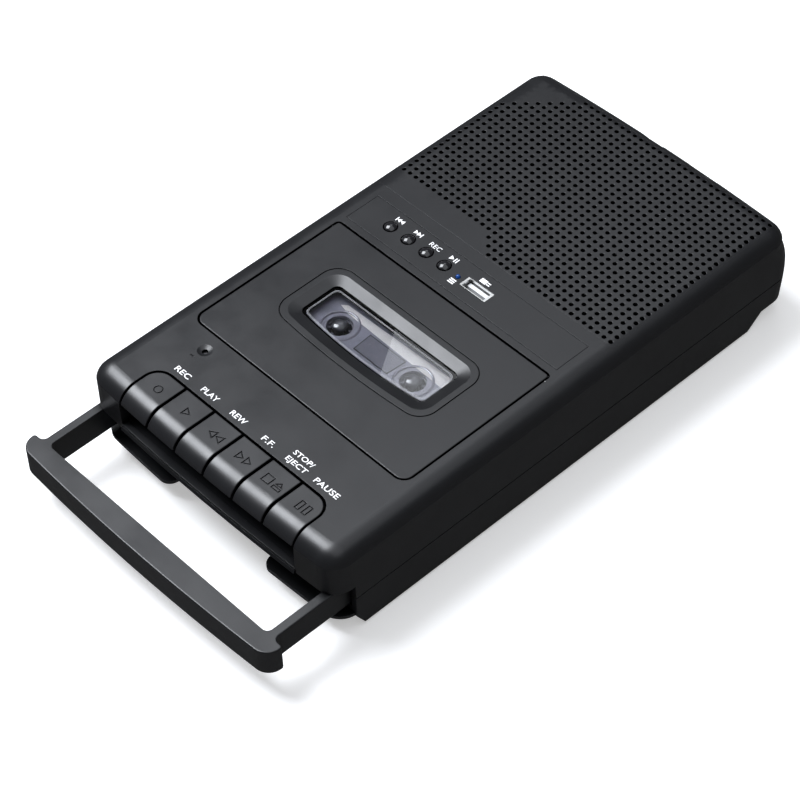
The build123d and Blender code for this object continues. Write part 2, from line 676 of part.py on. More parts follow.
# ---------------------------------------------------------------- mechanism
def make_chassis():
    plate = block(-58, 58, -74, 13, PLATE_Z, PLATE_Z + PLATE_T)
    for x, y in PLATE_POSTS:
        plate -= post(x, y, PLATE_Z - 1, PLATE_Z + 3, 1.5)
    for s in (-1, 1):
        plate -= post(s * HUB_X, HUB_Y, PLATE_Z - 1, PLATE_Z + 3, 3.0)
    plate -= post(CAPSTAN_X, CAPSTAN_Y, PLATE_Z - 1, PLATE_Z + 3, 2.5)
    plate -= post(MOTOR_X, MOTOR_Y, PLATE_Z - 1, PLATE_Z + 3, 3.0)
    for ear in make_key_brackets():
        plate += ear
    # guides that position the cassette
    for s in (-1, 1):
        plate += block(s * 46 - 3, s * 46 + 3, -44, -38, PLATE_Z + 1, CAS_Z0)
        plate += block(s * 46 - 3, s * 46 + 3, 0, 6, PLATE_Z + 1, CAS_Z0)
    return plate


def make_spindle(s):
    """Drive spindle: turntable under the plate, fins through the hub."""
    x = s * HUB_X
    spindle = post(x, HUB_Y, 20.0, 39.6, 2.4)
    spindle += Pos(x, HUB_Y, 39.6) * Cone(2.4, 0.8, 1.6, align=(Align.CENTER, Align.CENTER, Align.MIN))
    spindle += post(x, HUB_Y, PLATE_Z + PLATE_T + 0.3, CAS_Z0 - 0.3, 7.0)
    spindle += post(x, HUB_Y, 20.0, 23.0, 12.0)
    for k in range(3):
        fin = Pos(x, HUB_Y, 0) * Rot(0, 0, 120 * k) * block(2.0, 3.4, -0.45, 0.45, CAS_Z0, 38.6)
        spindle += fin
    return spindle


def make_capstan():
    return post(CAPSTAN_X, CAPSTAN_Y, 10.0, 41.0, CAPSTAN_R)


def make_capstan_bearing():
    sleeve = ring(CAPSTAN_X, CAPSTAN_Y, 21.5, PLATE_Z + PLATE_T, 2.5, CAPSTAN_R + RUN)
    sleeve += ring(CAPSTAN_X, CAPSTAN_Y, PLATE_Z - 1.2, PLATE_Z, 5.0, CAPSTAN_R + RUN)
    return sleeve


def make_flywheel():
    wheel = ring(CAPSTAN_X, CAPSTAN_Y, 11.0, 18.5, FLYWHEEL_R, CAPSTAN_R)
    wheel -= ring(CAPSTAN_X, CAPSTAN_Y, 15.5, 20, FLYWHEEL_R - 4, 4.5)
    groove = ring(CAPSTAN_X, CAPSTAN_Y, BELT_Z - 1.2, BELT_Z + 1.2, FLYWHEEL_R + 2, FLYWHEEL_R - 1.4)
    return wheel - groove


def make_motor():
    can = post(MOTOR_X, MOTOR_Y, 17.0, PLATE_Z - 0.8, 12.0)
    can += post(MOTOR_X, MOTOR_Y, PLATE_Z - 0.8, PLATE_Z + 0.4, 2.9)
    return can - post(MOTOR_X, MOTOR_Y, 0, 24, CAPSTAN_R + RUN)


def make_motor_pulley():
    pulley = post(MOTOR_X, MOTOR_Y, 11.5, 16.6, PULLEY_R)
    pulley -= ring(MOTOR_X, MOTOR_Y, BELT_Z - 1.2, BELT_Z + 1.2, PULLEY_R + 2, PULLEY_R - 1.4)
    return pulley + post(MOTOR_X, MOTOR_Y, 16.6, 23.5, CAPSTAN_R)


def make_belt():
    """Flat loop round the motor pulley and the flywheel."""
    r1 = PULLEY_R - 1.4 + RUN
    r2 = FLYWHEEL_R - 1.4 + RUN
    dx = CAPSTAN_X - MOTOR_X
    dy = CAPSTAN_Y - MOTOR_Y
    dist = math.hypot(dx, dy)
    base = math.atan2(dy, dx)

    def loop(grow):
        lean = math.acos((r1 - r2) / dist)
        pts = []
        for sign in (1, -1):
            ang = base + sign * lean
            c, s = math.cos(ang), math.sin(ang)
            pts.append(((MOTOR_X + (r1 + grow) * c, MOTOR_Y + (r1 + grow) * s),
                        (CAPSTAN_X + (r2 + grow) * c, CAPSTAN_Y + (r2 + grow) * s)))
        small_far = (MOTOR_X - (r1 + grow) * math.cos(base), MOTOR_Y - (r1 + grow) * math.sin(base))
        big_far = (CAPSTAN_X + (r2 + grow) * math.cos(base), CAPSTAN_Y + (r2 + grow) * math.sin(base))
        return make_face([Line(pts[0][0], pts[0][1]), ThreePointArc(pts[0][1], big_far, pts[1][1]),
                          Line(pts[1][1], pts[1][0]), ThreePointArc(pts[1][0], small_far, pts[0][0])])

    return prism(loop(BELT_T) - loop(0), BELT_Z - 1.0, BELT_Z + 1.0)


def make_head_bridge():
    z1 = BRIDGE_Z + BRIDGE_T
    plate = block(-24, 36, -66.0, -56.2, BRIDGE_Z, z1)
    plate += block(-6.0, 6.0, -63.9, -58.8, z1, 31.6)
    plate += block(-16.2, -11.8, -62.9, -58.8, z1, 31.6)
    plate += post(CAPSTAN_X, ROLLER_Y, z1, 40.4, 1.4)
    return plate


def make_head(x, half, depth):
    """A tape head: a can with a gently rounded face."""
    y1 = -56.4
    body = block(x - half, x + half, y1 - depth, y1, 31.6, HEAD_TOP)
    front = body.edges().filter_by(Axis.Z).sort_by(Axis.Y)[-2:]
    return fillet(front, half * 0.45)


def make_pinch_roller():
    return ring(CAPSTAN_X, ROLLER_Y, 31.9, 39.9, ROLLER_R, 1.4 + RUN)


def make_latch():
    """Catch behind the door's tab, pushed back by the stop and eject key."""
    foot = block(45, 52, DOOR_Y0 + 3.4, DOOR_Y0 + 6.4, PLATE_Z + PLATE_T + 0.1, PLATE_Z + PLATE_T + 1.0)
    blade = block(45, 52, DOOR_Y0 + 3.4, DOOR_Y0 + 4.1, PLATE_Z + PLATE_T + 0.1, 42.0)
    return foot + blade


# ---------------------------------------------------------------- sound and power
def make_speaker_frame():
    z1 = TOP_Z - WALL - 0.1
    frame = ring(0, CONE_Y, z1 - 1.2, z1, CONE_R, CONE_R - 3)
    cup = Pos(0, CONE_Y, 30.0) * Cone(18, CONE_R - 2, z1 - 1.2 - 30.0,
                                      align=(Align.CENTER, Align.CENTER, Align.MIN))
    core = Pos(0, CONE_Y, 29.9) * Cone(17, CONE_R - 3, z1 - 1.2 - 29.7,
                                       align=(Align.CENTER, Align.CENTER, Align.MIN))
    cup -= core
    for k in range(6):
        window = Pos(0, CONE_Y, 35.5) * Rot(0, 0, 60 * k) * block(18, 40, -6, 6, -3.2, 3.2)
        cup -= window
    base = ring(0, CONE_Y, 29.0, 30.2, 18, 8)
    return frame + cup + base


def make_speaker_cone():
    low = 31.5
    high = TOP_Z - WALL - 2.2
    outer = Pos(0, CONE_Y, low) * Cone(7.5, CONE_R - 5, high - low,
                                       align=(Align.CENTER, Align.CENTER, Align.MIN))
    inner = Pos(0, CONE_Y, low + 0.6) * Cone(7.5, CONE_R - 5, high - low,
                                             align=(Align.CENTER, Align.CENTER, Align.MIN))
    cap = Pos(0, CONE_Y, low + 1.0) * Sphere(9.5) & block(-10, 10, CONE_Y - 10, CONE_Y + 10,
                                                         low + 2.5, low + 14)
    cap -= Pos(0, CONE_Y, low + 1.0) * Sphere(8.9)
    return (outer - inner) + cap


def make_speaker_magnet():
    return post(0, CONE_Y, 21.6, 29.0, 16)


def make_battery_door():
    x0, x1 = -BAY_X - 2.8, BAY_X + 2.8
    door = block(x0, x1, BAY_Y0 - 2.8, BAY_Y1 + 2.8, PAN_Z, PAN_Z + 1.4)
    for k in range(6):
        y = BAY_Y1 - 6 - 1.8 * k
        door -= block(-14, 14, y - 0.4, y + 0.4, PAN_Z - 1, PAN_Z + 0.4)
    return door


def cell_places():
    return [(-1.5 + k) * (2 * CELL_R + 0.4) for k in range(4)]


def make_cells():
    cells = []
    for k, x in enumerate(cell_places()):
        y0 = BAY_Y0 + 2.4
        body = bar_y(x, y0, y0 + CELL_LEN - 1.2, 11.6, CELL_R)
        nose_y = (y0 + CELL_LEN - 1.2, y0 + CELL_LEN) if k % 2 else (y0 - 1.2, y0)
        cells.append(body + bar_y(x, *nose_y, 11.6, 2.6))
    return Compound(cells)


def make_contacts():
    plates = []
    for x in cell_places():
        plates.append(block(x - 5, x + 5, BAY_Y0 + 0.1, BAY_Y0 + 0.6, 6, 17))
        plates.append(block(x - 5, x + 5, BAY_Y1 - 0.6, BAY_Y1 - 0.1, 6, 17))
    return Compound(plates)


def make_main_board():
    board = block(-67, 44, 20.5, 62, 20.6, 22.2) + block(-69, -46, 62, 105, 20.6, 22.2)
    parts = [board]
    for k in range(4):
        parts.append(post(-30 + 11 * k, 50, 22.2, 30, 3.5))
    parts.append(block(14, 30, 44, 56, 22.2, 24.4))
    parts.append(block(-4, 10, 34, 40, 22.2, 24.0))
    return Compound(parts)


def make_jack(y):
    body = block(-69.4, -55, y - 4.5, y + 4.5, 22.2, 33.6) + bar_x(-71.6, -69.4, y, JACK_Z, 3.0)
    return body - bar_x(-72, -57, y, JACK_Z, JACK_R)


def make_dc_socket():
    body = block(-69.4, -57, DC_Y - 4.6, DC_Y + 4.6, 22.2, 33.6) + bar_x(-71.6, -69.4, DC_Y, JACK_Z, 4.0)
    body -= bar_x(-72, -60, DC_Y, JACK_Z, DC_R)
    return body + bar_x(-70.6, -59, DC_Y, JACK_Z, 1.0)


def make_volume_wheel():
    wheel = post(WHEEL_X, WHEEL_Y, WHEEL_Z0, WHEEL_Z1, WHEEL_R)
    for k in range(36):
        turned = Pos(WHEEL_X, WHEEL_Y, 0) * Rot(0, 0, 10 * k)
        wheel -= turned * Pos(WHEEL_R + 0.2, 0, 28.5) * Cylinder(0.5, 6)
    return wheel - post(WHEEL_X, WHEEL_Y, 20, 40, 3.0)


def make_volume_control():
    return post(WHEEL_X, WHEEL_Y, 22.2, WHEEL_Z0 - 0.2, 7.0) + post(WHEEL_X, WHEEL_Y, 22.2, WHEEL_Z1, 2.95)


def make_feet():
    feet = []
    for x, y in FEET:
        foot = post(x, y, 0, PAN_Z, 6.0)
        feet.append(fillet(foot.edges().sort_by(Axis.Z)[0], 0.5))
    return Compound(feet)


def make_screws():
    screws = []
    for x, y in CASE_SCREWS:
        foot = PAN_Z if y < 120 else END_Z
        head = post(x, y, foot + 3.6, foot + 6.0, 2.7)
        head -= block(x - 2, x + 2, y - 0.4, y + 0.4, 0, foot + 4.4)
        head -= block(x - 0.4, x + 0.4, y - 2, y + 2, 0, foot + 4.4)
        screws.append(head + post(x, y, foot + 5, SEAM_Z + 6, 1.4))
    return Compound(screws)


def make_plate_screws():
    screws = []
    for x, y in PLATE_POSTS:
        z = PLATE_Z + PLATE_T
        screws.append(post(x, y, z, z + 1.6, 2.6) + post(x, y, 18, z + 0.5, 1.2))
    return Compound(screws)


# ---------------------------------------------------------------- write the nodes
def main():
    os.makedirs("parts", exist_ok=True)
    shell, grille = make_top_shell()
    usb_shell, usb_tongue = make_usb()
    nodes = {
        "top_shell": shell,
        "speaker_grille": make_grille(grille),
        "bottom_shell": make_bottom_shell(),
        "carry_handle": make_handle(),
        "cassette_door": make_door(),
        "door_window": make_window(),
        "door_hinge_pins": Compound(make_hinge_pins()),
        "cassette_pressure_springs": Compound(make_pressure_springs()),
        "door_latch": make_latch(),
        "control_panel": make_control_panel(),
        "button_board": make_button_board(),
        "led_lens": make_led(),
        "usb_socket": usb_shell,
        "usb_tongue": usb_tongue,
        "microphone_capsule": post(MIC_X, MIC_Y, 39.4, TOP_Z - WALL, 3.0),
        "key_shaft": make_key_shaft(),
        "key_springs": make_key_springs(),
        "cassette_shell": make_cassette(),
        "chassis_plate": make_chassis(),
        "plate_screws": make_plate_screws(),
        "capstan": make_capstan(),
        "capstan_bearing": make_capstan_bearing(),
        "flywheel": make_flywheel(),
        "motor": make_motor(),
        "motor_pulley": make_motor_pulley(),
        "drive_belt": make_belt(),
        "head_bridge": make_head_bridge(),
        "record_play_head": make_head(0, 6.0, 7.5),
        "erase_head": make_head(-14.0, 2.2, 6.5),
        "pinch_roller": make_pinch_roller(),
        "speaker_frame": make_speaker_frame(),
        "speaker_cone": make_speaker_cone(),
        "speaker_magnet": make_speaker_magnet(),
        "battery_door": make_battery_door(),
        "battery_cells": make_cells(),
        "battery_contacts": make_contacts(),
        "main_board": make_main_board(),
        "dc_socket": make_dc_socket(),
        "volume_wheel": make_volume_wheel(),
        "volume_control": make_volume_control(),
        "rubber_feet": make_feet(),
        "case_screws": make_screws(),
    }
    for name, y in SIDE_JACKS:
        nodes[name] = make_jack(y)
    for i, name in enumerate(KEYS):
        nodes[name] = make_key(i)
    for name, place in zip(BUTTONS, control_places()[0]):
        nodes[name] = make_button(place)
    for name, s, r in (("supply", -1, 20.5), ("take_up", 1, 13.5)):
        nodes[name + "_spindle"] = make_spindle(s)
        nodes[name + "_hub"] = make_hub(s)
        nodes[name + "_tape"] = make_tape(s, r)
    for node, solid in nodes.items():
        save(node, solid)


main()
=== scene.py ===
import json
import math

import bmesh
import bpy
from bpy.props import FloatProperty, FloatVectorProperty, IntProperty, PointerProperty
from mathutils import Matrix, Vector


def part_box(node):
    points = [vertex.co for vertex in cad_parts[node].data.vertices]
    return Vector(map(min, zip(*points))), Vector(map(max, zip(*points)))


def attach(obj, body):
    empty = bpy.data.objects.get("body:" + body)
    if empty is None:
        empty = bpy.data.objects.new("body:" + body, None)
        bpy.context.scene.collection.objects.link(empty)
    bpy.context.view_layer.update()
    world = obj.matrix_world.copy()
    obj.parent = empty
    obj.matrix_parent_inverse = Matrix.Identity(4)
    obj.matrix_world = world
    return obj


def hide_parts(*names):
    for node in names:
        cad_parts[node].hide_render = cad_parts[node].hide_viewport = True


bl_info = {
    "name": "Portable cassette recorder",
    "version": (1, 0, 0),
    "blender": (4, 5, 0),
    "location": "View3D > Sidebar > Recorder",
    "description": "Finishes and detail pieces of a portable cassette recorder",
    "category": "Object",
}

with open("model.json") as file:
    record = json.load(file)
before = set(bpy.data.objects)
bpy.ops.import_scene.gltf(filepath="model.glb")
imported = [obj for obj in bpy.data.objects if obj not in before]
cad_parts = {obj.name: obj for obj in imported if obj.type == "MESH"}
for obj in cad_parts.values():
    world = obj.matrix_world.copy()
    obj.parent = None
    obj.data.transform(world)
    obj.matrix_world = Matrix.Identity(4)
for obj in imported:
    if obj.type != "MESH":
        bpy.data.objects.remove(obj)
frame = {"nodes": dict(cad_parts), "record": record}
MM = 0.001
CAP_HEIGHT = 0.73  # height of a capital of the plain built-in font at size 1
DOOR_FRONT = -62.3 * MM  # front edge of the door, measured from the middle of the case
ORIGIN_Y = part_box("cassette_door")[0].y - DOOR_FRONT
ACRYLIC_IOR = 1.49
SMOOTH, PLATE_SMOOTH, COIL_SMOOTH = 35, 30, 50  # degrees: sharper edges stay sharp


# ---------------------------------------------------------------- settings
class FinishSettings(bpy.types.PropertyGroup):
    """Finish of the moulded plastics."""

    grain_size: FloatProperty(
        name="Grain size",
        description="Spacing of the moulded grain",
        default=0.45 * MM,
        unit="LENGTH",
    )
    grain_depth: FloatProperty(
        name="Grain depth",
        description="Height of the moulded grain",
        default=0.012 * MM,
        unit="LENGTH",
    )
    # Width of the painted highlight along a sharp edge, and of the bevel that rounds its shading normal.
    edge_radius: FloatProperty(
        name="Edge radius",
        description="Width of the polished line along a worn edge",
        default=0.25 * MM,
        unit="LENGTH",
    )
    # Reach of the painted shade that darkens gaps and grooves.
    recess: FloatProperty(
        name="Recess",
        description="How far into a gap the light fades",
        default=5 * MM,
        unit="LENGTH",
    )
    # How much lighter the painted highlight makes a sharp edge.
    edge_glint_lift: FloatProperty(
        name="Edge wear",
        description="How much lighter a worn edge is",
        default=0.12,
        subtype="FACTOR",
    )


class GrilleSettings(bpy.types.PropertyGroup):
    """Perforated part of the top."""

    pitch: FloatProperty(
        name="Pitch",
        description="Distance between holes",
        default=3.6 * MM,
        unit="LENGTH",
    )
    hole: FloatProperty(
        name="Hole radius",
        description="Radius of one hole",
        default=0.98 * MM,
        unit="LENGTH",
    )
    chamfer: FloatProperty(
        name="Chamfer",
        description="Softened mouth of a hole",
        default=0.1 * MM,
        unit="LENGTH",
    )
    wall: FloatProperty(
        name="Wall",
        description="Thickness of the plate",
        default=2.2 * MM,
        unit="LENGTH",
    )
    columns: IntProperty(name="Columns", description="Holes across", default=37)
    rows: IntProperty(name="Rows", description="Holes along", default=27)
    bow: FloatProperty(
        name="Rear bow",
        description="How far the rear edge bows out",
        default=2.2 * MM,
        unit="LENGTH",
    )
    rim: FloatProperty(
        name="Rim radius",
        description="Radius of the rounded rim",
        default=9 * MM,
        unit="LENGTH",
    )


class LabelSettings(bpy.types.PropertyGroup):
    """Printed words and signs."""

    ink: FloatProperty(
        name="Ink",
        description="Thickness of the print",
        default=0.03 * MM,
        unit="LENGTH",
    )
    weight: FloatProperty(
        name="Weight",
        description="Added boldness, in letter heights",
        default=0.009,
    )
    key_height: FloatProperty(
        name="Key words",
        description="Height of the words by the keys",
        default=2.7 * MM,
        unit="LENGTH",
    )


class CassetteSettings(bpy.types.PropertyGroup):
    """The loaded cassette."""

    label: FloatProperty(
        name="Label",
        description="Thickness of the label sheet",
        default=0.12 * MM,
        unit="LENGTH",
    )
    pane: FloatProperty(
        name="Pane",
        description="Thickness of the cassette's own window",
        default=0.12 * MM,
        unit="LENGTH",
    )
    pane_line: FloatProperty(
        name="Pane line",
        description="Height of the line round that window",
        default=0.2 * MM,
        unit="LENGTH",
    )
    stripe: FloatProperty(
        name="Stripe",
        description="Thickness of the pale stripe on the label",
        default=0.1 * MM,
        unit="LENGTH",
    )
    # Height of the painted highlight lines along the door window's edge.
    glint_height: FloatProperty(
        name="Window rim",
        description="Height of the window's bright rim",
        default=0.08 * MM,
        unit="LENGTH",
    )


class StageSettings(bpy.types.PropertyGroup):
    """Floor, lights and camera."""

    floor_size: FloatProperty(
        name="Floor",
        description="Width of the floor",
        default=9.0,
        unit="LENGTH",
    )
    top_power: FloatProperty(
        name="Top light",
        description="Power of the overhead light",
        default=16.5,
    )
    front_power: FloatProperty(
        name="Front light",
        description="Power of the front light",
        default=36.0,
    )
    card_power: FloatProperty(
        name="Card",
        description="Power of the card that the window mirrors",
        default=2.6,
    )
    world: FloatProperty(name="World", description="Strength of the surroundings", default=0.08)
    floor_glow: FloatProperty(
        name="Floor glow",
        description="Light of the lit floor board itself",
        default=0.43,
    )
    lens: FloatProperty(
        name="Lens",
        description="Focal length of the camera, in mm",
        default=124.785,
    )
    camera: FloatVectorProperty(
        name="Camera",
        description="Where the camera stands",
        default=(0.56948, -0.51228, 0.83835),
        subtype="TRANSLATION",
    )


# ---------------------------------------------------------------- materials
class Finish:
    """A procedural material under construction."""

    def __init__(self, name):
        self.material = bpy.data.materials.new(name)
        self.material.use_nodes = True
        self.tree = self.material.node_tree
        self.tree.nodes.clear()
        self.out = self.node("ShaderNodeOutputMaterial")
        self.shader = self.node("ShaderNodeBsdfPrincipled")
        self.link(self.shader.outputs["BSDF"], self.out.inputs["Surface"])
        self.place = self.node("ShaderNodeTexCoord").outputs["Object"]

    def node(self, kind, **values):
        made = self.tree.nodes.new(kind)
        for key, value in values.items():
            setattr(made, key, value)
        return made

    def link(self, a, b):
        self.tree.links.new(a, b)

    def set(self, **values):
        for key, value in values.items():
            self.shader.inputs[key.replace("_", " ")].default_value = value

    def noise(self, scale, detail=3.0, roughness=0.55, stretch=None):
        made = self.node("ShaderNodeTexNoise")
        made.inputs["Scale"].default_value = scale
        made.inputs["Detail"].default_value = detail
        made.inputs["Roughness"].default_value = roughness
        place = self.place
        if stretch:
            mapping = self.node("ShaderNodeMapping")
            mapping.inputs["Scale"].default_value = stretch
            self.link(place, mapping.inputs["Vector"])
            place = mapping.outputs["Vector"]
        self.link(place, made.inputs["Vector"])
        return made.outputs["Fac"]

    def ramp(self, value, low, high, from_low=0.3, from_high=0.7):
        made = self.node("ShaderNodeMapRange")
        made.inputs["From Min"].default_value = from_low
        made.inputs["From Max"].default_value = from_high
        made.inputs["To Min"].default_value = low
        made.inputs["To Max"].default_value = high
        self.link(value, made.inputs["Value"])
        return made.outputs["Result"]

    def mix(self, factor, a, b):
        made = self.node("ShaderNodeMix", data_type="RGBA")
        for socket, value in (("A", a), ("B", b)):
            target = [s for s in made.inputs if s.name == socket and s.type == "RGBA"][0]
            if isinstance(value, bpy.types.NodeSocket):
                self.link(value, target)
            else:
                target.default_value = (*value, 1)
        factor_in = [s for s in made.inputs if s.name == "Factor" and s.type == "VALUE"][0]
        self.link(factor, factor_in)
        return [s for s in made.outputs if s.type == "RGBA"][0]

    def colour(self, factor, a, b):
        """Base colour between two tones."""
        self.link(self.mix(factor, a, b), self.shader.inputs["Base Color"])

    def roughness(self, value):
        self.link(value, self.shader.inputs["Roughness"])

    def edge_glint_mask(self, radius):
        """Mask of the painted highlight: 1 along a sharp edge, 0 on a face."""
        bevel = self.node("ShaderNodeBevel", samples=4)
        bevel.inputs["Radius"].default_value = radius
        plain = self.node("ShaderNodeNewGeometry")
        dot = self.node("ShaderNodeVectorMath", operation="DOT_PRODUCT")
        self.link(bevel.outputs["Normal"], dot.inputs[0])
        self.link(plain.outputs["Normal"], dot.inputs[1])
        return self.ramp(dot.outputs["Value"], 1.0, 0.0, 0.88, 0.995), bevel.outputs["Normal"]

    def gap_shade_mask(self, distance):
        """Mask of the painted shade: 1 on an open face, 0 deep in a gap or groove."""
        made = self.node("ShaderNodeAmbientOcclusion", samples=6)
        made.inputs["Distance"].default_value = distance
        return self.ramp(made.outputs["AO"], 0.0, 1.0, 0.42, 0.86)

    def bump(self, height, distance, normal=None):
        """Relief of a given depth, over a rounded normal if there is one."""
        made = self.node("ShaderNodeBump")
        made.inputs["Distance"].default_value = distance
        self.link(height, made.inputs["Height"])
        if normal is not None:
            self.link(normal, made.inputs["Normal"])
        self.link(made.outputs["Normal"], self.shader.inputs["Normal"])


def plastic(name, tone, rough, settings, sheen):
    """Moulded plastic: fine grain, uneven gloss, a painted highlight along sharp edges and painted shade
    in gaps and grooves.
    """
    f = Finish(name)
    patches = f.noise(26, 4)
    light = tuple(c * 1.12 for c in tone)
    dark = tuple(c * 0.9 for c in tone)
    colour = f.mix(f.ramp(patches, 0, 1), dark, light)
    edge, rounded = f.edge_glint_mask(settings.edge_radius)
    # Painted highlight: sharp edges lifted to a lighter tone.
    edge_glint = f.node("ShaderNodeMath", operation="MULTIPLY")
    f.link(edge, edge_glint.inputs[0])
    edge_glint.inputs[1].default_value = settings.edge_glint_lift
    colour = f.mix(edge_glint.outputs[0], colour, tuple(c * 2.1 + 0.012 for c in tone))
    # Painted shade: gaps and grooves darkened to near black, and their reflections dimmed too.
    lit = f.gap_shade_mask(settings.recess)
    f.colour(lit, (0.0005, 0.0005, 0.0006), colour)
    f.link(f.ramp(lit, 0.0, sheen, 0.0, 1.0), f.shader.inputs["Specular IOR Level"])
    smears = f.noise(60, 5, 0.6)
    f.roughness(f.ramp(smears, rough - 0.05, rough + 0.05))
    f.bump(f.noise(1 / settings.grain_size, 2), settings.grain_depth, normal=rounded)
    return f.material


def metal(name, tone, rough, brushed=(1, 1, 1)):
    """Bare metal with fine drawn marks."""
    f = Finish(name)
    marks = f.noise(900, 3, 0.6, brushed)
    f.colour(f.ramp(marks, 0, 1), tuple(c * 0.86 for c in tone), tone)
    f.roughness(f.ramp(f.noise(140, 4), rough - 0.06, rough + 0.08))
    f.set(Metallic=1.0)
    f.bump(marks, 0.004 * MM)
    return f.material


def rubber(name, tone, rough=0.75):
    """Soft rubber with a dusty bloom."""
    f = Finish(name)
    bloom = f.noise(300, 5, 0.65)
    f.colour(f.ramp(bloom, 0, 1), tone, tuple(c * 1.5 + 0.01 for c in tone))
    f.roughness(f.ramp(bloom, rough - 0.08, rough + 0.1))
    f.bump(f.noise(2600, 2), 0.01 * MM)
    return f.material


def glossy(name, tone, rough, coat=0.0):
    """Smooth plastic with a faint ripple and handling marks."""
    f = Finish(name)
    marks = f.noise(220, 5, 0.7)
    f.colour(f.ramp(marks, 0, 1), tuple(c * 0.92 for c in tone), tuple(c * 1.08 for c in tone))
    f.roughness(f.ramp(marks, max(rough - 0.04, 0.02), rough + 0.06))
    f.set(Coat_Weight=coat, Coat_Roughness=0.08)
    f.bump(f.noise(120, 2), 0.003 * MM)
    return f.material


def clear(name, tone):
    """Clear plastic, slightly tinted, with hairline scratches."""
    f = Finish(name)
    scratches = f.noise(500, 4, 0.7, (1, 12, 1))
    f.colour(f.ramp(scratches, 0, 1), tone, tuple(min(1, c * 1.05) for c in tone))
    f.roughness(f.ramp(scratches, 0.0, 0.008))
    f.set(Transmission_Weight=1.0, IOR=ACRYLIC_IOR)
    f.bump(f.noise(60, 2), 0.002 * MM)
    return f.material


def board(name):
    """Circuit board with solder mask over copper tracks."""
    f = Finish(name)
    tracks = f.noise(420, 1, 0.3, (1, 5, 1))
    f.colour(f.ramp(tracks, 0, 1, 0.48, 0.52), (0.02, 0.12, 0.05), (0.04, 0.2, 0.08))
    f.roughness(f.ramp(f.noise(80), 0.3, 0.42))
    f.bump(tracks, 0.02 * MM)
    return f.material


def lamp(name, tone, strength):
    """A lit lens."""
    f = Finish(name)
    glow = f.noise(900, 2)
    shade = f.mix(f.ramp(glow, 0, 1), tuple(c * 0.85 for c in tone), tone)
    f.link(shade, f.shader.inputs["Emission Color"])
    f.colour(f.ramp(glow, 0, 1), tuple(c * 0.5 for c in tone), tone)
    f.set(Emission_Strength=strength)
    f.roughness(f.ramp(glow, 0.18, 0.26))
    return f.material


def paper(name, tone):
    """Pressed paper pulp."""
    f = Finish(name)
    pulp = f.noise(1400, 6, 0.7)
    f.colour(f.ramp(pulp, 0, 1), tuple(c * 0.75 for c in tone), tuple(c * 1.2 for c in tone))
    f.roughness(f.ramp(pulp, 0.8, 0.95))
    f.bump(pulp, 0.05 * MM)
    return f.material


def make_materials(s):
    """One material for each finish of the record."""
    return {
        "case_plastic": plastic("case_plastic", (0.0096, 0.01, 0.0116), 0.34, s, 0.58),
        "handle_plastic": plastic("handle_plastic", (0.011, 0.0114, 0.013), 0.33, s, 0.62),
        "key_plastic": plastic("key_plastic", (0.0112, 0.0116, 0.0134), 0.35, s, 0.66),
        "button_plastic": glossy("button_plastic", (0.012, 0.012, 0.014), 0.16, 0.5),
        "clear_window": clear("clear_window", (0.93, 0.94, 0.95)),
        "bright_steel": metal("bright_steel", (0.72, 0.72, 0.71), 0.18, (1, 1, 30)),
        "zinc_steel": metal("zinc_steel", (0.52, 0.53, 0.54), 0.36, (1, 14, 1)),
        "screw_steel": metal("screw_steel", (0.2, 0.2, 0.21), 0.32),
        "motor_can": metal("motor_can", (0.55, 0.55, 0.55), 0.3, (1, 1, 20)),
        "brass": metal("brass", (0.78, 0.56, 0.25), 0.25),
        "flywheel_metal": metal("flywheel_metal", (0.6, 0.6, 0.61), 0.2),
        "magnet_ferrite": rubber("magnet_ferrite", (0.035, 0.034, 0.036), 0.6),
        "paper_cone": paper("paper_cone", (0.03, 0.028, 0.027)),
        "belt_rubber": rubber("belt_rubber", (0.012, 0.012, 0.012)),
        "roller_rubber": rubber("roller_rubber", (0.02, 0.02, 0.02)),
        "head_metal": metal("head_metal", (0.6, 0.61, 0.63), 0.12, (30, 1, 1)),
        "circuit_board": board("circuit_board"),
        "connector_plastic": glossy("connector_plastic", (0.012, 0.012, 0.013), 0.3),
        "usb_tongue_plastic": glossy("usb_tongue_plastic", (0.75, 0.76, 0.78), 0.3),
        "led_blue": lamp("led_blue", (0.004, 0.06, 0.28), 0.25),
        "microphone_can": metal("microphone_can", (0.25, 0.25, 0.26), 0.35),
        "cassette_clear": glossy("cassette_clear", (0.22, 0.215, 0.265), 0.16, 0.4),
        "hub_white": glossy("hub_white", (0.09, 0.088, 0.115), 0.18, 0.4),
        "spindle_black": glossy("spindle_black", (0.015, 0.015, 0.016), 0.3),
        "tape_brown": glossy("tape_brown", (0.06, 0.035, 0.022), 0.25),
        "battery_jacket": glossy("battery_jacket", (0.3, 0.3, 0.31), 0.25),
        "label_grey": glossy("label_grey", (0.19, 0.187, 0.24), 0.3, 0.2),
        "pane_dark": glossy("pane_dark", (0.13, 0.128, 0.165), 0.22, 0.3),
        "stripe_pale": glossy("stripe_pale", (0.66, 0.63, 0.63), 0.35),
        "spindle_cap": glossy("spindle_cap", (0.05, 0.05, 0.06), 0.12, 0.6),
        # Painted highlight: pale strips for the glints on the door window's edge.
        "window_glint": glossy("window_glint", (0.62, 0.63, 0.66), 0.12, 0.5),
        "print_white": rubber("print_white", (0.85, 0.85, 0.86), 0.55),
        "print_dark": rubber("print_dark", (0.006, 0.006, 0.007), 0.6),
    }


# ---------------------------------------------------------------- building helpers
def add_mesh(name, mesh):
    """A new object in the scene with this mesh."""
    piece = bpy.data.objects.new(name, mesh)
    bpy.context.scene.collection.objects.link(piece)
    return piece


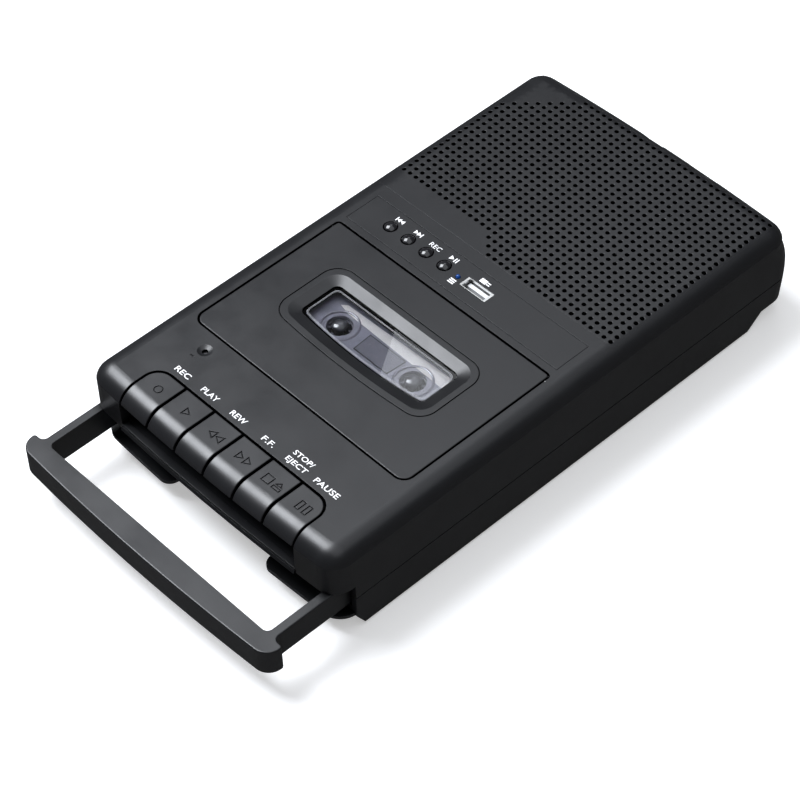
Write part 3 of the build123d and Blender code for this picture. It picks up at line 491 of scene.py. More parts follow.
def evaluated_mesh(holder):
    """The plain mesh that an object becomes with its modifiers or text applied."""
    bpy.context.view_layer.update()
    graph = bpy.context.evaluated_depsgraph_get()
    return bpy.data.meshes.new_from_object(holder.evaluated_get(graph))


def finish_piece(piece, body, slot, material, *replaced):
    """Gives a piece its material and body, and hides the CAD parts it replaces."""
    piece.data.materials.clear()
    piece.data.materials.append(material)
    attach(piece, body)
    if replaced:
        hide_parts(*replaced)
    return piece


def prism_mesh(name, outlines, z, height):
    """Thin upright prisms of plan outlines, in metres."""
    bm = bmesh.new()
    for outline in outlines:
        area = sum(
            x0 * y1 - x1 * y0 for (x0, y0), (x1, y1) in zip(outline, outline[1:] + outline[:1])
        )
        points = outline if area > 0 else outline[::-1]
        low = [bm.verts.new((x, y, z)) for x, y in points]
        high = [bm.verts.new((x, y, z + height)) for x, y in points]
        bm.faces.new(low[::-1])
        bm.faces.new(high)
        for i in range(len(points)):
            j = (i + 1) % len(points)
            bm.faces.new((low[i], low[j], high[j], high[i]))
    mesh = bpy.data.meshes.new(name)
    bm.to_mesh(mesh)
    bm.free()
    return mesh


def word_mesh(words, ink, weight):
    """Printed words as one mesh. A word is (text, left, right, baseline, height, z), in metres."""
    bm = bmesh.new()
    for text, left, right, base, height, z in words:
        curve = bpy.data.curves.new("word", "FONT")
        curve.body = text
        curve.resolution_u = 3
        curve.offset = weight
        curve.extrude = 0.5
        holder = bpy.data.objects.new("word", curve)
        bpy.context.scene.collection.objects.link(holder)
        mesh = evaluated_mesh(holder)
        bpy.data.objects.remove(holder)
        spread = [[v.co[k] for v in mesh.vertices] for k in (0, 2)]
        ends = [(min(values), max(values)) for values in spread]
        across = (right - left) / (ends[0][1] - ends[0][0])
        deep = ink / (ends[1][1] - ends[1][0])
        up = height / CAP_HEIGHT
        for v in mesh.vertices:
            x, y, depth = v.co
            v.co = (left + (x - ends[0][0]) * across, base + y * up, z + (depth - ends[1][0]) * deep)
        bm.from_mesh(mesh)
        bpy.data.meshes.remove(mesh)
    bmesh.ops.remove_doubles(bm, verts=bm.verts, dist=1e-7)
    mesh = bpy.data.meshes.new("words")
    bm.to_mesh(mesh)
    bm.free()
    return mesh


# ---------------------------------------------------------------- geometry nodes
class Tree:
    """A geometry node group under construction."""

    def __init__(self, name):
        self.group = bpy.data.node_groups.new(name, "GeometryNodeTree")
        self.group.interface.new_socket("Geometry", in_out="OUTPUT", socket_type="NodeSocketGeometry")
        self.entry = self.group.nodes.new("NodeGroupInput")
        self.exit = self.group.nodes.new("NodeGroupOutput")

    def input(self, name, kind):
        """A named input of the group."""
        self.group.interface.new_socket(name, in_out="INPUT", socket_type=kind)
        return self.entry.outputs[name]

    def node(self, kind, inputs=(), **values):
        made = self.group.nodes.new(kind)
        for key, value in values.items():
            setattr(made, key, value)
        for key, value in dict(inputs).items():
            self.feed(made.inputs[key], value)
        return made

    def feed(self, socket, value):
        if isinstance(value, bpy.types.NodeSocket):
            self.group.links.new(value, socket)
        else:
            socket.default_value = value

    def math(self, operation, a, b=0.0):
        made = self.node("ShaderNodeMath", operation=operation)
        self.feed(made.inputs[0], a)
        self.feed(made.inputs[1], b)
        return made.outputs[0]

    def join(self, *parts):
        made = self.node("GeometryNodeJoinGeometry")
        for part in parts:
            self.group.links.new(part, made.inputs["Geometry"])
        return made.outputs["Geometry"]

    def close(self, geometry, material):
        """Ends the tree: instances realised, material set."""
        real = self.node("GeometryNodeRealizeInstances", {"Geometry": geometry}).outputs["Geometry"]
        done = self.node("GeometryNodeSetMaterial", {"Geometry": real, "Material": material})
        self.group.links.new(done.outputs["Geometry"], self.exit.inputs["Geometry"])


def grown(name, base, tree, values, material):
    """The plain mesh that a node tree makes from a base mesh."""
    holder = add_mesh(name, base)
    modifier = holder.modifiers.new("grow", "NODES")
    modifier.node_group = tree.group
    values = dict(values, Material=material)
    for item in tree.group.interface.items_tree:
        if item.item_type == "SOCKET" and item.in_out == "INPUT" and item.name in values:
            modifier[item.identifier] = values[item.name]
    mesh = evaluated_mesh(holder)
    holder.modifiers.clear()
    bpy.data.objects.remove(holder)
    mesh.name = name
    return add_mesh(name, mesh)


def tile(name, pitch, hole=0.0, chamfer=0.0):
    """One square of the plate's outer face, with or without a hole."""
    bm = bmesh.new()
    half = pitch / 2
    border = []
    for side in range(4):
        turn = Matrix.Rotation(math.pi / 2 * side, 2)
        for step in range(4):
            border.append(bm.verts.new((*(turn @ Vector((half, (step / 2 - 1) * half))), 0)))
    if hole:
        rings = [border]
        for radius, drop in ((hole + chamfer, 0), (hole, chamfer)):
            rings.append([])
            for i in range(16):
                a = 2 * math.pi * (i - 2) / 16
                rings[-1].append(bm.verts.new((radius * math.cos(a), radius * math.sin(a), -drop)))
        for outer, inner in zip(rings, rings[1:]):
            for i in range(16):
                j = (i + 1) % 16
                bm.faces.new((outer[i], outer[j], inner[j], inner[i]))
    else:
        bm.faces.new(border)
    mesh = bpy.data.meshes.new(name)
    bm.to_mesh(mesh)
    bm.free()
    return mesh


BLANK_ROWS, BLANK_COLUMNS = 3, 17  # holes left out of the plate's near left corner
BLANK_CORNER = 7  # holes along the short sides of its blank far left corner


def grille_lattice(s, first_row):
    """A point for each tile of the plate, marked open where it has a hole."""
    points, opened = [], []
    last = s.rows - 1
    for col in range(s.columns):
        for row in range(s.rows):
            x = (col - (s.columns - 1) / 2) * s.pitch
            points.append((x, first_row + row * s.pitch, 0))
            near_left = row < min(BLANK_ROWS, BLANK_COLUMNS - col)
            far_left = col + last - row < BLANK_CORNER
            opened.append(not (near_left or far_left))
    mesh = bpy.data.meshes.new("grille_lattice")
    mesh.from_pydata(points, [], [])
    mesh.attributes.new("open", "BOOLEAN", "POINT").data.foreach_set("value", opened)
    return mesh


TILE_WELD = 0.02 * MM  # joins the edges of neighbouring tiles
WALL_WELD = 0.01 * MM  # joins the plate's faces to its walls


def grille_tree():
    """Tiles on a lattice, welded, dropped round the rim and given a thickness."""
    t = Tree("perforated_plate")
    points = t.input("Geometry", "NodeSocketGeometry")
    material = t.input("Material", "NodeSocketMaterial")
    holed = t.input("Holed tile", "NodeSocketObject")
    plain = t.input("Plain tile", "NodeSocketObject")
    wall = t.input("Wall", "NodeSocketFloat")
    level = t.input("Top level", "NodeSocketFloat")
    rim = t.input("Rim radius", "NodeSocketFloat")
    side = t.input("Rim start across", "NodeSocketFloat")
    back = t.input("Rim start along", "NodeSocketFloat")
    half = t.input("Half width", "NodeSocketFloat")
    bow = t.input("Rear bow", "NodeSocketFloat")
    opened = t.node("GeometryNodeInputNamedAttribute", {"Name": "open"}, data_type="BOOLEAN")
    opened = [s for s in opened.outputs if s.type == "BOOLEAN" and s.enabled][0]
    closed = t.node("FunctionNodeBooleanMath", operation="NOT")
    t.feed(closed.inputs[0], opened)
    laid = []
    for source, chosen in ((holed, opened), (plain, closed.outputs[0])):
        body = t.node("GeometryNodeObjectInfo", {"Object": source}).outputs["Geometry"]
        inputs = {"Points": points, "Instance": body, "Selection": chosen}
        placed = t.node("GeometryNodeInstanceOnPoints", inputs).outputs["Instances"]
        laid.append(t.node("GeometryNodeRealizeInstances", {"Geometry": placed}).outputs["Geometry"])
    weld = {"Geometry": t.join(*laid), "Distance": TILE_WELD}
    sheet = t.node("GeometryNodeMergeByDistance", weld).outputs["Geometry"]
    place = t.node("ShaderNodeSeparateXYZ", {"Vector": t.node("GeometryNodeInputPosition").outputs[0]})
    across = t.math("MAXIMUM", t.math("SUBTRACT", t.math("ABSOLUTE", place.outputs["X"]), side), 0.0)
    share = t.math("DIVIDE", t.math("ABSOLUTE", place.outputs["X"]), half)
    drawn_in = t.math("MULTIPLY", bow, t.math("POWER", share, 2.0))
    start = t.math("SUBTRACT", back, drawn_in)
    along = t.math("MAXIMUM", t.math("SUBTRACT", place.outputs["Y"], start), 0.0)
    reach = t.math("ADD", t.math("MULTIPLY", across, across), t.math("MULTIPLY", along, along))
    under = t.math("SQRT", t.math("SUBTRACT", t.math("MULTIPLY", rim, rim), reach))
    fall = t.math("SUBTRACT", t.math("ADD", level, under), rim)
    offset = t.node("ShaderNodeCombineXYZ", {"Z": fall}).outputs[0]
    face = t.node("GeometryNodeSetPosition", {"Geometry": sheet, "Offset": offset}).outputs["Geometry"]
    down = t.node("ShaderNodeCombineXYZ", {"Z": t.math("MULTIPLY", wall, -1.0)}).outputs[0]
    thick = t.node("GeometryNodeExtrudeMesh", {"Mesh": face, "Offset": down, "Individual": False})
    inside = t.node("GeometryNodeFlipFaces", {"Mesh": thick.outputs["Mesh"]}).outputs["Mesh"]
    weld = {"Geometry": t.join(face, inside), "Distance": WALL_WELD}
    whole = t.node("GeometryNodeMergeByDistance", weld)
    t.close(whole.outputs["Geometry"], material)
    return t


RIM_CUT = 0.4 * MM  # how far short of upright the case's rim rounding stops
GRILLE_PAST_RIM = 2.7 * MM  # how far the plate reaches over the rear rim


def smooth_by_angle(mesh, degrees=SMOOTH):
    """Smooth shading with sharp edges kept."""
    mesh.polygons.foreach_set("use_smooth", [True] * len(mesh.polygons))
    mesh.set_sharp_from_angle(angle=math.radians(degrees))


# ---------------------------------------------------------------- signs
def triangle(x0, x1, y0, y1):
    """A triangle with its base on x0 and its tip on x1."""
    return [(x0, y0), (x1, (y0 + y1) / 2), (x0, y1)]


def bar(x0, x1, y0, y1):
    """An upright rectangle."""
    return [(x0, y0), (x1, y0), (x1, y1), (x0, y1)]


def disc(x, y, radius, steps):
    """A circle as a polygon."""
    turns = [2 * math.pi * i / steps for i in range(steps)]
    return [(x + radius * math.cos(a), y + radius * math.sin(a)) for a in turns]


def port_sign(x, y, length):
    """A plug outline with two contacts, for the socket."""
    half = length * 0.22
    return [
        bar(x, x + length * 0.62, y - half, y + half),
        bar(x + length * 0.66, x + length, y - half * 0.72, y - half * 0.24),
        bar(x + length * 0.66, x + length, y + half * 0.24, y + half * 0.72),
    ]


KEY_LINE = -86.2  # baseline of the words by the keys, in mm
SIGN_LINE = 32.5  # lower edge of the signs by the buttons, in mm
TWO_LINE = 0.9  # size of the two-line word against the others


def placed_words(rows, level):
    """Words for word_mesh from (text, left, right, baseline, height) in mm, on one level."""
    return [
        (text, a * MM, b * MM, y * MM + ORIGIN_Y, height * MM, level)
        for text, a, b, y, height in rows
    ]


def in_metres(outlines):
    """Outlines in mm about the case's middle, as metres in the part's frame."""
    return [[(x * MM, y * MM + ORIGIN_Y) for x, y in outline] for outline in outlines]


def filleted(corners, steps=6):
    """A closed outline through (x, y, radius) corners, each rounded."""
    outline = []
    count = len(corners)
    for i, (x, y, radius) in enumerate(corners):
        here = Vector((x, y))
        if not radius:
            outline.append((x, y))
            continue
        before = (Vector(corners[i - 1][:2]) - here).normalized()
        after = (Vector(corners[(i + 1) % count][:2]) - here).normalized()
        half = before.angle(after) / 2
        centre = here + (before + after).normalized() * radius / math.sin(half)
        start = here + before * radius / math.tan(half) - centre
        sweep = -start.angle_signed(here + after * radius / math.tan(half) - centre)
        for k in range(steps + 1):
            outline.append(tuple(centre + Matrix.Rotation(sweep * k / steps, 2) @ start))
    return outline


def window_outline(grow, radius=2.4):
    """The door window's outline: straight at the hinge, bowed towards the keys."""
    half, near, far, bow = 34.0 + grow, -27.6 - grow, -9.8 + grow, 2.2
    corners = [(half, far, radius), (-half, far, radius), (-half, near, radius)]
    for k in range(1, 12):
        x = -half + 2 * half * k / 12
        corners.append((x, near - bow * (1 - (x / half) ** 2), 0))
    corners.append((half, near, radius))
    return filleted(corners)


def strip_mesh(name, outer, inner, z, height):
    """A closed strip between two outlines with the same number of points."""
    bm = bmesh.new()
    rows = []
    for outline, level in ((outer, z), (outer, z + height), (inner, z + height), (inner, z)):
        rows.append([bm.verts.new((x, y, level)) for x, y in outline])
    count = len(outer)
    for k in range(4):
        a, b = rows[k], rows[(k + 1) % 4]
        for i in range(count):
            j = (i + 1) % count
            bm.faces.new((a[i], a[j], b[j], b[i]))
    bmesh.ops.recalc_face_normals(bm, faces=bm.faces)
    mesh = bpy.data.meshes.new(name)
    bm.to_mesh(mesh)
    bm.free()
    return mesh


def sheet_mesh(name, loops, z, height):
    """A thin flat sheet whose later loops are holes in the first."""
    bm = bmesh.new()
    for loop in loops:
        made = [bm.verts.new((x, y, z)) for x, y in loop]
        for i, v in enumerate(made):
            bm.edges.new((v, made[(i + 1) % len(made)]))
    bmesh.ops.triangle_fill(bm, use_beauty=True, edges=bm.edges[:], normal=(0, 0, 1))
    grown_part = bmesh.ops.extrude_face_region(bm, geom=bm.faces[:])
    for v in grown_part["geom"]:
        if isinstance(v, bmesh.types.BMVert):
            v.co.z += height
    bmesh.ops.recalc_face_normals(bm, faces=bm.faces)
    mesh = bpy.data.meshes.new(name)
    bm.to_mesh(mesh)
    bm.free()
    return mesh


def lathe_mesh(name, profile, centre, steps=48):
    """A turned piece. The profile is (radius, height) points, from axis to axis or a closed ring."""
    bm = bmesh.new()
    closed = profile[0][0] > 0
    rings = []
    for radius, z in profile:
        if radius == 0:
            rings.append([bm.verts.new((centre[0], centre[1], z))])
            continue
        circle = disc(*centre, radius, steps)
        rings.append([bm.verts.new((x, y, z)) for x, y in circle])
    pairs = list(zip(rings, rings[1:])) + ([(rings[-1], rings[0])] if closed else [])
    for a, b in pairs:
        for i in range(steps):
            j = (i + 1) % steps
            corners = [a[i % len(a)], a[j % len(a)], b[j % len(b)], b[i % len(b)]]
            bm.faces.new([v for k, v in enumerate(corners) if v not in corners[:k]])
    bmesh.ops.recalc_face_normals(bm, faces=bm.faces)
    mesh = bpy.data.meshes.new(name)
    bm.to_mesh(mesh)
    bm.free()
    smooth_by_angle(mesh)
    return mesh


def joined(name, meshes):
    """Several meshes as one."""
    bm = bmesh.new()
    for mesh in meshes:
        bm.from_mesh(mesh)
    whole = bpy.data.meshes.new(name)
    bm.to_mesh(whole)
    bm.free()
    return whole


def place_points(name, places):
    """Points, each with a turn. A place is (x, y, z, turn about X, Y, Z), in metres and radians."""
    mesh = bpy.data.meshes.new(name)
    mesh.from_pydata([place[:3] for place in places], [], [])
    turns = mesh.attributes.new("turn", "FLOAT_VECTOR", "POINT")
    turns.data.foreach_set("vector", [value for place in places for value in place[3:]])
    return mesh


def repeat_tree(name):
    """One piece repeated on points, each turned by its own turn."""
    t = Tree(name)
    points = t.input("Geometry", "NodeSocketGeometry")
    material = t.input("Material", "NodeSocketMaterial")
    source = t.input("Piece", "NodeSocketObject")
    body = t.node("GeometryNodeObjectInfo", {"Object": source}).outputs["Geometry"]
    turn = t.node("GeometryNodeInputNamedAttribute", {"Name": "turn"}, data_type="FLOAT_VECTOR")
    turn = [s for s in turn.outputs if s.type == "VECTOR" and s.enabled][0]
    inputs = {"Points": points, "Instance": body, "Rotation": turn}
    placed = t.node("GeometryNodeInstanceOnPoints", inputs)
    t.close(placed.outputs["Instances"], material)
    return t


def repeated(name, mesh, places, material):
    """A plain mesh of one piece repeated by the repeat tree."""
    source = add_mesh("repeat_source", mesh)
    points = place_points(name + "_places", places)
    piece = grown(name, points, repeat_tree(name + "_tree"), {"Piece": source}, material)
    bpy.data.objects.remove(source)
    return piece


def coil_mesh(name, radius, wire, turns, length):
    """A coil spring along X."""
    bm = bmesh.new()
    sides, steps = 8, int(turns * 28)
    rows = []
    for k in range(steps + 1):
        a = 2 * math.pi * turns * k / steps
        centre = Vector((length * (k / steps - 0.5), radius * math.cos(a), radius * math.sin(a)))
        out = Vector((0, math.cos(a), math.sin(a)))
        ring = []
        for i in range(sides):
            b = 2 * math.pi * i / sides
            spoke = out * math.cos(b) + Vector((1, 0, 0)) * math.sin(b)
            ring.append(bm.verts.new(centre + wire * spoke))
        rows.append(ring)
    for a, b in zip(rows, rows[1:]):
        for i in range(sides):
            j = (i + 1) % sides
            bm.faces.new((a[i], a[j], b[j], b[i]))
    bm.faces.new(rows[0])
    bm.faces.new(rows[-1])
    bmesh.ops.recalc_face_normals(bm, faces=bm.faces)
    mesh = bpy.data.meshes.new(name)
    bm.to_mesh(mesh)
    bm.free()
    return mesh


# ---------------------------------------------------------------- operators
MATERIALS = {}


class RECORDER_OT_finishes(bpy.types.Operator):
    """Give every CAD node its procedural material"""

    bl_idname = "recorder.finishes"
    bl_label = "Finishes"

    def execute(self, context):
        MATERIALS.update(make_materials(context.scene.recorder_finish))
        slots = {row["node"]: row["material_slot"] for row in frame["record"]["subparts"]}
        for name, node in frame["nodes"].items():
            for i in range(len(node.material_slots)):
                node.material_slots[i].material = MATERIALS[slots[name]]
        return {"FINISHED"}


class RECORDER_OT_grille(bpy.types.Operator):
    """Build the perforated plate over the loudspeaker"""

    bl_idname = "recorder.grille"
    bl_label = "Speaker grille"

    def execute(self, context):
        s = context.scene.recorder_grille
        low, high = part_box("speaker_grille")
        case_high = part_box("top_shell")[1]
        tiles = {}
        for label, hole in (("Holed tile", s.hole), ("Plain tile", 0.0)):
            tiles[label] = add_mesh("tile", tile("tile", s.pitch, hole, s.chamfer))
            tiles[label].hide_render = True
        rim_in = s.rim - RIM_CUT
        values = {
            "Wall": s.wall,
            "Top level": high.z,
            "Rim radius": s.rim,
            "Rim start across": case_high.x - rim_in,
            "Rim start along": high.y - GRILLE_PAST_RIM,
            "Half width": case_high.x,
            "Rear bow": s.bow,
            **tiles,
        }
        lattice = grille_lattice(s, low.y + s.pitch / 2)
        piece = grown("perforated_grille", lattice, grille_tree(), values, MATERIALS["case_plastic"])
        for made in tiles.values():
            bpy.data.objects.remove(made)
        smooth_by_angle(piece.data, PLATE_SMOOTH)
        finish_piece(piece, "root", "case_plastic", MATERIALS["case_plastic"], "speaker_grille")
        return {"FINISHED"}


class RECORDER_OT_labels(bpy.types.Operator):
    """Print the words and signs on the top"""

    bl_idname = "recorder.labels"
    bl_label = "Printed labels"

    def execute(self, context):
        s = context.scene.recorder_labels
        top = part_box("top_shell")[1].z
        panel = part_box("control_panel")[1].z
        key, small_key = s.key_height / MM, s.key_height * TWO_LINE / MM
        rows = [
            ("REC", -45.2, -37.0, KEY_LINE, key),
            ("PLAY", -29.4, -20.2, KEY_LINE, key),
            ("REW", -12.2, -3.8, KEY_LINE, key),
            ("F.F.", 6.2, 12.8, KEY_LINE, key),
            ("STOP/", 20.1, 31.0, KEY_LINE + 3.9, small_key),
            ("EJECT", 20.1, 31.3, KEY_LINE - 0.1, small_key),
            ("PAUSE", 36.0, 49.0, KEY_LINE, key),
        ]
        piece = add_mesh("printed_words", word_mesh(placed_words(rows, top), s.ink, s.weight))
        finish_piece(piece, "root", None, MATERIALS["print_white"])
        small = placed_words([("REC", -24.9, -18.8, SIGN_LINE - 0.3, 2.4)], panel)
        piece = add_mesh("record_word", word_mesh(small, s.ink, s.weight * 0.2))
        finish_piece(piece, "root", None, MATERIALS["print_white"])
        low, high = SIGN_LINE, SIGN_LINE + 2.3
        signs = [
            bar(-45.2, -44.7, low, high),
            triangle(-42.9, -44.7, low, high),
            triangle(-41.0, -42.9, low, high),
            triangle(-34.4, -32.5, low, high),
            triangle(-32.5, -30.7, low, high),
            bar(-30.7, -30.2, low, high),
            triangle(-13.5, -11.5, low - 0.1, high + 0.1),
            bar(-11.0, -10.5, low - 0.1, high + 0.1),
            bar(-9.9, -9.4, low - 0.1, high + 0.1),
            *port_sign(4.3, low + 0.9, 5.2),
        ]
        signs += [bar(-4.9, -1.8, y, y + 0.6) for y in (25.2, 24.2, 23.2)]
        piece = add_mesh("printed_signs", prism_mesh("signs", in_metres(signs), panel, s.ink))
        finish_piece(piece, "root", None, MATERIALS["print_white"])
        # Painted shade: MIC in dark print stands in for the shade in engraved letters.
        dark = placed_words([("MIC", -46.9, -41.7, -77.1, 1.9)], top)
        piece = add_mesh("microphone_word", word_mesh(dark, s.ink, s.weight * 0.5))
        finish_piece(piece, "root", None, MATERIALS["print_dark"])
        return {"FINISHED"}


SHELL_STEP = 1.6 * MM  # from the thick head end down to the cassette's face
# The cassette's outer details, in mm.
LABEL_HALF, LABEL_FAR, LABEL_NEAR, LABEL_CORNER = 46.5, -1.6, -47.0, 2.5
HUB_HOLE = 7.4  # radius of the label's holes
RING_SECTION = [(7.5, 0), (7.5, 0.35), (8.0, 0.5), (8.5, 0.3), (8.7, 0)]
PANE = [(-8.9, -15.2), (-8.2, -25.2), (11.2, -25.2), (11.9, -15.2)]
PANE_INSIDE = [(-8.5, -15.55), (-7.85, -24.85), (10.85, -24.85), (11.5, -15.55)]
BAND = [(-29.5, -12.3), (-27.0, -10.4), (45.0, -8.6), (45.0, -15.4), (34.0, -15.2), (-24.0, -13.6)]
CAP_R, CAP_DOME = 3.6, 1.5  # radius and rise of a spindle's cap
CAP_DROP, CAP_SKIRT = 0.6, 1.0  # dome's centre and cap's lower face below the spindle's tip


class RECORDER_OT_cassette(bpy.types.Operator):
    """Dress the loaded cassette: label sheet, ring bosses, window and spindle caps"""

    bl_idname = "recorder.cassette"
    bl_label = "Cassette"

    def execute(self, context):
        s = context.scene.recorder_cassette
        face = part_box("cassette_shell")[1].z - SHELL_STEP
        level = face + s.label
        hubs = {}
        for body in ("supply", "take_up"):
            a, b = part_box(body + "_hub")
            hubs[body] = ((a.x + b.x) / 2, (a.y + b.y) / 2)
        ends = bar(-LABEL_HALF, LABEL_HALF, LABEL_NEAR, LABEL_FAR)
        sheet = in_metres([filleted([(x, y, LABEL_CORNER) for x, y in ends])])[0]
        holes = [disc(x, y, HUB_HOLE * MM, 40) for x, y in hubs.values()]
        label = add_mesh("cassette_label", sheet_mesh("label", [sheet, *holes], face, s.label))
        finish_piece(label, "root", None, MATERIALS["label_grey"])
        section = [(radius * MM, level + height * MM) for radius, height in RING_SECTION]
        rings = [lathe_mesh("ring", section, hub) for hub in hubs.values()]
        bosses = add_mesh("cassette_rings", joined("rings", rings))
        smooth_by_angle(bosses.data)
        finish_piece(bosses, "root", "cassette_clear", MATERIALS["cassette_clear"])
        pane, lined = in_metres([PANE, PANE_INSIDE])
        window = add_mesh("cassette_pane", prism_mesh("pane", [pane], level, s.pane))
        finish_piece(window, "root", "cassette_clear", MATERIALS["pane_dark"])
        frame_line = add_mesh("cassette_pane_line", strip_mesh("line", pane, lined, level, s.pane_line))
        finish_piece(frame_line, "root", None, MATERIALS["print_dark"])
        stripe = add_mesh("cassette_stripe", prism_mesh("stripe", in_metres([BAND]), level, s.stripe))
        finish_piece(stripe, "root", None, MATERIALS["stripe_pale"])
        for body, hub in hubs.items():
            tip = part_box(body + "_spindle")[1].z
            turns = [0.3 * k for k in range(1, 6)]
            dome = [(CAP_R * math.sin(a), CAP_DOME * math.cos(a) - CAP_DROP) for a in turns]
            profile = [(0, CAP_DOME - CAP_DROP), *dome, (CAP_R, -CAP_SKIRT), (0, -CAP_SKIRT)]
            cap = lathe_mesh("cap", [(radius * MM, tip + height * MM) for radius, height in profile], hub)
            piece = add_mesh(body + "_spindle_cap", cap)
            finish_piece(piece, body + "_reel", "spindle_black", MATERIALS["spindle_cap"])
        return {"FINISHED"}


RIM_GLINT_LINES = ((-0.05, 0.11), (-0.5, 0.07))  # (place, width) of the painted highlight lines along the window's edge, in mm
RIM_SUNK = 0.02 * MM  # how far they sit in the glass


class RECORDER_OT_window(bpy.types.Operator):
    """Paint highlight lines along the bevelled rim of the door's window"""

    bl_idname = "recorder.window"
    bl_label = "Window rim"

    def execute(self, context):
        s = context.scene.recorder_cassette
        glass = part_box("door_window")[1].z
        rims = []
        for outer, width in RIM_GLINT_LINES:
            a, b = in_metres([window_outline(outer), window_outline(outer - width)])
            rims.append(strip_mesh("rim", a, b, glass - RIM_SUNK, s.glint_height))
        rim = add_mesh("window_rim", joined("window_rim", rims))
        finish_piece(rim, "cassette_door", "clear_window", MATERIALS["window_glint"])
        return {"FINISHED"}


SPRING_SIDE = 6.1 * MM  # from a key's middle to its return spring
SPRING_R, SPRING_WIRE, SPRING_LENGTH, SPRING_TURNS = 3.0 * MM, 0.32 * MM, 2.7 * MM, 3.5
RIB_HALF, RIB_THIN, RIB_HEIGHT = 11 * MM, 0.32 * MM, 0.45 * MM
RIB_ROUND = 0.3 * MM
RIB_ROOT = 0.05 * MM  # how far a rib reaches into the battery door
RIB_START, RIB_STEP, RIB_COUNT = 8 * MM, 1.6 * MM, 7


class RECORDER_OT_repeats(bpy.types.Operator):
    """Repeat the return springs and the grip ribs"""

    bl_idname = "recorder.repeats"
    bl_label = "Springs and ribs"

    def execute(self, context):
        low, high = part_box("key_springs")
        axis_y, axis_z = (low.y + high.y) / 2, (low.z + high.z) / 2
        places = []
        for name in ("record", "play", "rewind", "fast_forward", "stop_eject", "pause"):
            a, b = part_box("key_" + name)
            places.append(((a.x + b.x) / 2 + SPRING_SIDE, axis_y, axis_z, 0, 0, 0))
        coil = coil_mesh("coil", SPRING_R, SPRING_WIRE, SPRING_TURNS, SPRING_LENGTH)
        steel = MATERIALS["bright_steel"]
        piece = repeated("return_springs", coil, places, steel)
        smooth_by_angle(piece.data, COIL_SMOOTH)
        finish_piece(piece, "root", "bright_steel", steel, "key_springs")
        low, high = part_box("battery_door")
        middle = (low.x + high.x) / 2
        corners = bar(-RIB_HALF, RIB_HALF, -RIB_THIN, RIB_THIN)
        rib = filleted([(x, y, RIB_ROUND) for x, y in corners], 3)
        mesh = prism_mesh("rib", [rib], 0, RIB_HEIGHT)
        first = low.y + RIB_START
        level = low.z - RIB_HEIGHT + RIB_ROOT
        places = [(middle, first + RIB_STEP * k, level, 0, 0, 0) for k in range(RIB_COUNT)]
        piece = repeated("battery_door_ribs", mesh, places, MATERIALS["case_plastic"])
        finish_piece(piece, "battery_door", "case_plastic", MATERIALS["case_plastic"])
        return {"FINISHED"}


# Each lamp: where it stands, what it faces, its size.
OVERHEAD = ((0.15, 0.05, 1.8), (0.15, 0.051, 0), (2.6, 1.9))
FRONT = ((-0.83, -0.28, 1.38), (0, -0.05, 0.03), (0.95, 0.95))
CARD = ((-0.911, 1.203, 1.8), (0, 0, 0.04), (0.7, 0.7))
CARD_TURN = math.radians(-57)  # faces down, turned so that its edge crosses the window
LIGHT_TINT = (0.92, 0.95, 1.0)
CAMERA_RIGHT = (0.68507507, 0.72791747, -0.02843088)
CAMERA_UP = (-0.52532576, 0.52069256, 0.67298745)
CAMERA_BACK = (0.50468306, -0.44611145, 0.73910729)


class RECORDER_OT_stage(bpy.types.Operator):
    """Set the floor, the lights and the camera"""

    bl_idname = "recorder.stage"
    bl_label = "Stage"

    def execute(self, context):
        s = context.scene.recorder_stage
        half = s.floor_size / 2
        bm = bmesh.new()
        bmesh.ops.create_grid(bm, x_segments=4, y_segments=4, size=half)
        mesh = bpy.data.meshes.new("floor")
        bm.to_mesh(mesh)
        bm.free()
        floor = add_mesh("floor", mesh)
        floor.data.materials.append(floor_material(s.floor_glow))
        floor.visible_glossy = False
        area_light("overhead", *OVERHEAD, s.top_power)
        area_light("front", *FRONT, s.front_power)
        card = area_light("card", *CARD, s.card_power)
        card.rotation_euler = (0, 0, CARD_TURN)
        world = bpy.data.worlds.new("studio")
        world.use_nodes = True
        background = world.node_tree.nodes["Background"]
        background.inputs["Color"].default_value = (1, 1, 1, 1)
        background.inputs["Strength"].default_value = s.world
        context.scene.world = world
        lens = bpy.data.cameras.new("camera")
        lens.lens = s.lens
        lens.clip_start = 0.05
        camera = bpy.data.objects.new("camera", lens)
        turn = Matrix((CAMERA_RIGHT, CAMERA_UP, CAMERA_BACK)).transposed().to_4x4()
        place = Vector(s.camera) + Vector((0, ORIGIN_Y, 0))
        camera.matrix_world = Matrix.Translation(place) @ turn
        context.scene.collection.objects.link(camera)
        context.scene.camera = camera
        context.scene.view_settings.view_transform = "Standard"
        return {"FINISHED"}


def floor_material(glow):
    """Pale matt board with a faint mottle, lit from within."""
    f = Finish("floor_board")
    mottle = f.noise(6, 4)
    f.colour(f.ramp(mottle, 0, 1), (0.88, 0.88, 0.885), (0.9, 0.9, 0.905))
    f.roughness(f.ramp(mottle, 0.42, 0.5))
    f.set(Specular_IOR_Level=0.3, Emission_Color=(1, 1, 1, 1), Emission_Strength=glow)
    return f.material


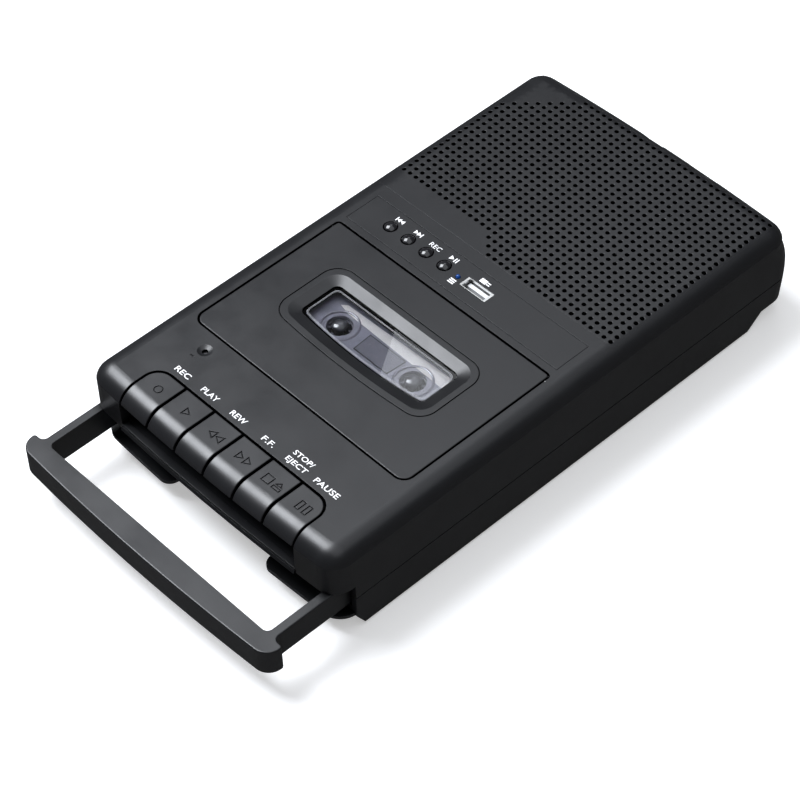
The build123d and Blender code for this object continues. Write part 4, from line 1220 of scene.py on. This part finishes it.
def area_light(name, place, target, size, power):
    """A rectangular soft light."""
    data = bpy.data.lights.new(name, "AREA")
    data.shape = "RECTANGLE"
    data.size, data.size_y = size
    data.energy = power
    data.color = LIGHT_TINT
    light = bpy.data.objects.new(name, data)
    aim = (Vector(target) - Vector(place)).to_track_quat("-Z", "Y")
    light.matrix_world = Matrix.Translation(place) @ aim.to_matrix().to_4x4()
    bpy.context.scene.collection.objects.link(light)
    return light


class RECORDER_PT_panel(bpy.types.Panel):
    """Steps that finish the recorder"""

    bl_idname = "RECORDER_PT_panel"
    bl_label = "Recorder"
    bl_space_type = "VIEW_3D"
    bl_region_type = "UI"
    bl_category = "Recorder"

    def draw(self, context):
        for step in STEPS:
            self.layout.operator(step.bl_idname)
        for group in SETTINGS:
            box = self.layout.box()
            box.label(text=group.replace("_", " "))
            values = getattr(context.scene, group)
            for name in SETTINGS[group].__annotations__:
                box.prop(values, name)


STEPS = (
    RECORDER_OT_finishes,
    RECORDER_OT_grille,
    RECORDER_OT_labels,
    RECORDER_OT_cassette,
    RECORDER_OT_window,
    RECORDER_OT_repeats,
    RECORDER_OT_stage,
)
SETTINGS = {
    "recorder_finish": FinishSettings,
    "recorder_grille": GrilleSettings,
    "recorder_labels": LabelSettings,
    "recorder_cassette": CassetteSettings,
    "recorder_stage": StageSettings,
}


def register():
    for group in SETTINGS.values():
        bpy.utils.register_class(group)
    for name, group in SETTINGS.items():
        setattr(bpy.types.Scene, name, PointerProperty(type=group))
    for step in (*STEPS, RECORDER_PT_panel):
        bpy.utils.register_class(step)


def unregister():
    for step in (RECORDER_PT_panel, *reversed(STEPS)):
        bpy.utils.unregister_class(step)
    for name in SETTINGS:
        delattr(bpy.types.Scene, name)
    for group in reversed(list(SETTINGS.values())):
        bpy.utils.unregister_class(group)


def main():
    """Runs the steps in order."""
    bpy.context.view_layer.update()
    register()
    for step in STEPS:
        area, call = step.bl_idname.split(".")
        result = getattr(getattr(bpy.ops, area), call)()
        if result != {"FINISHED"}:
            raise RuntimeError(f"{step.bl_idname} did not finish")


if __name__ == "__main__":
    main()
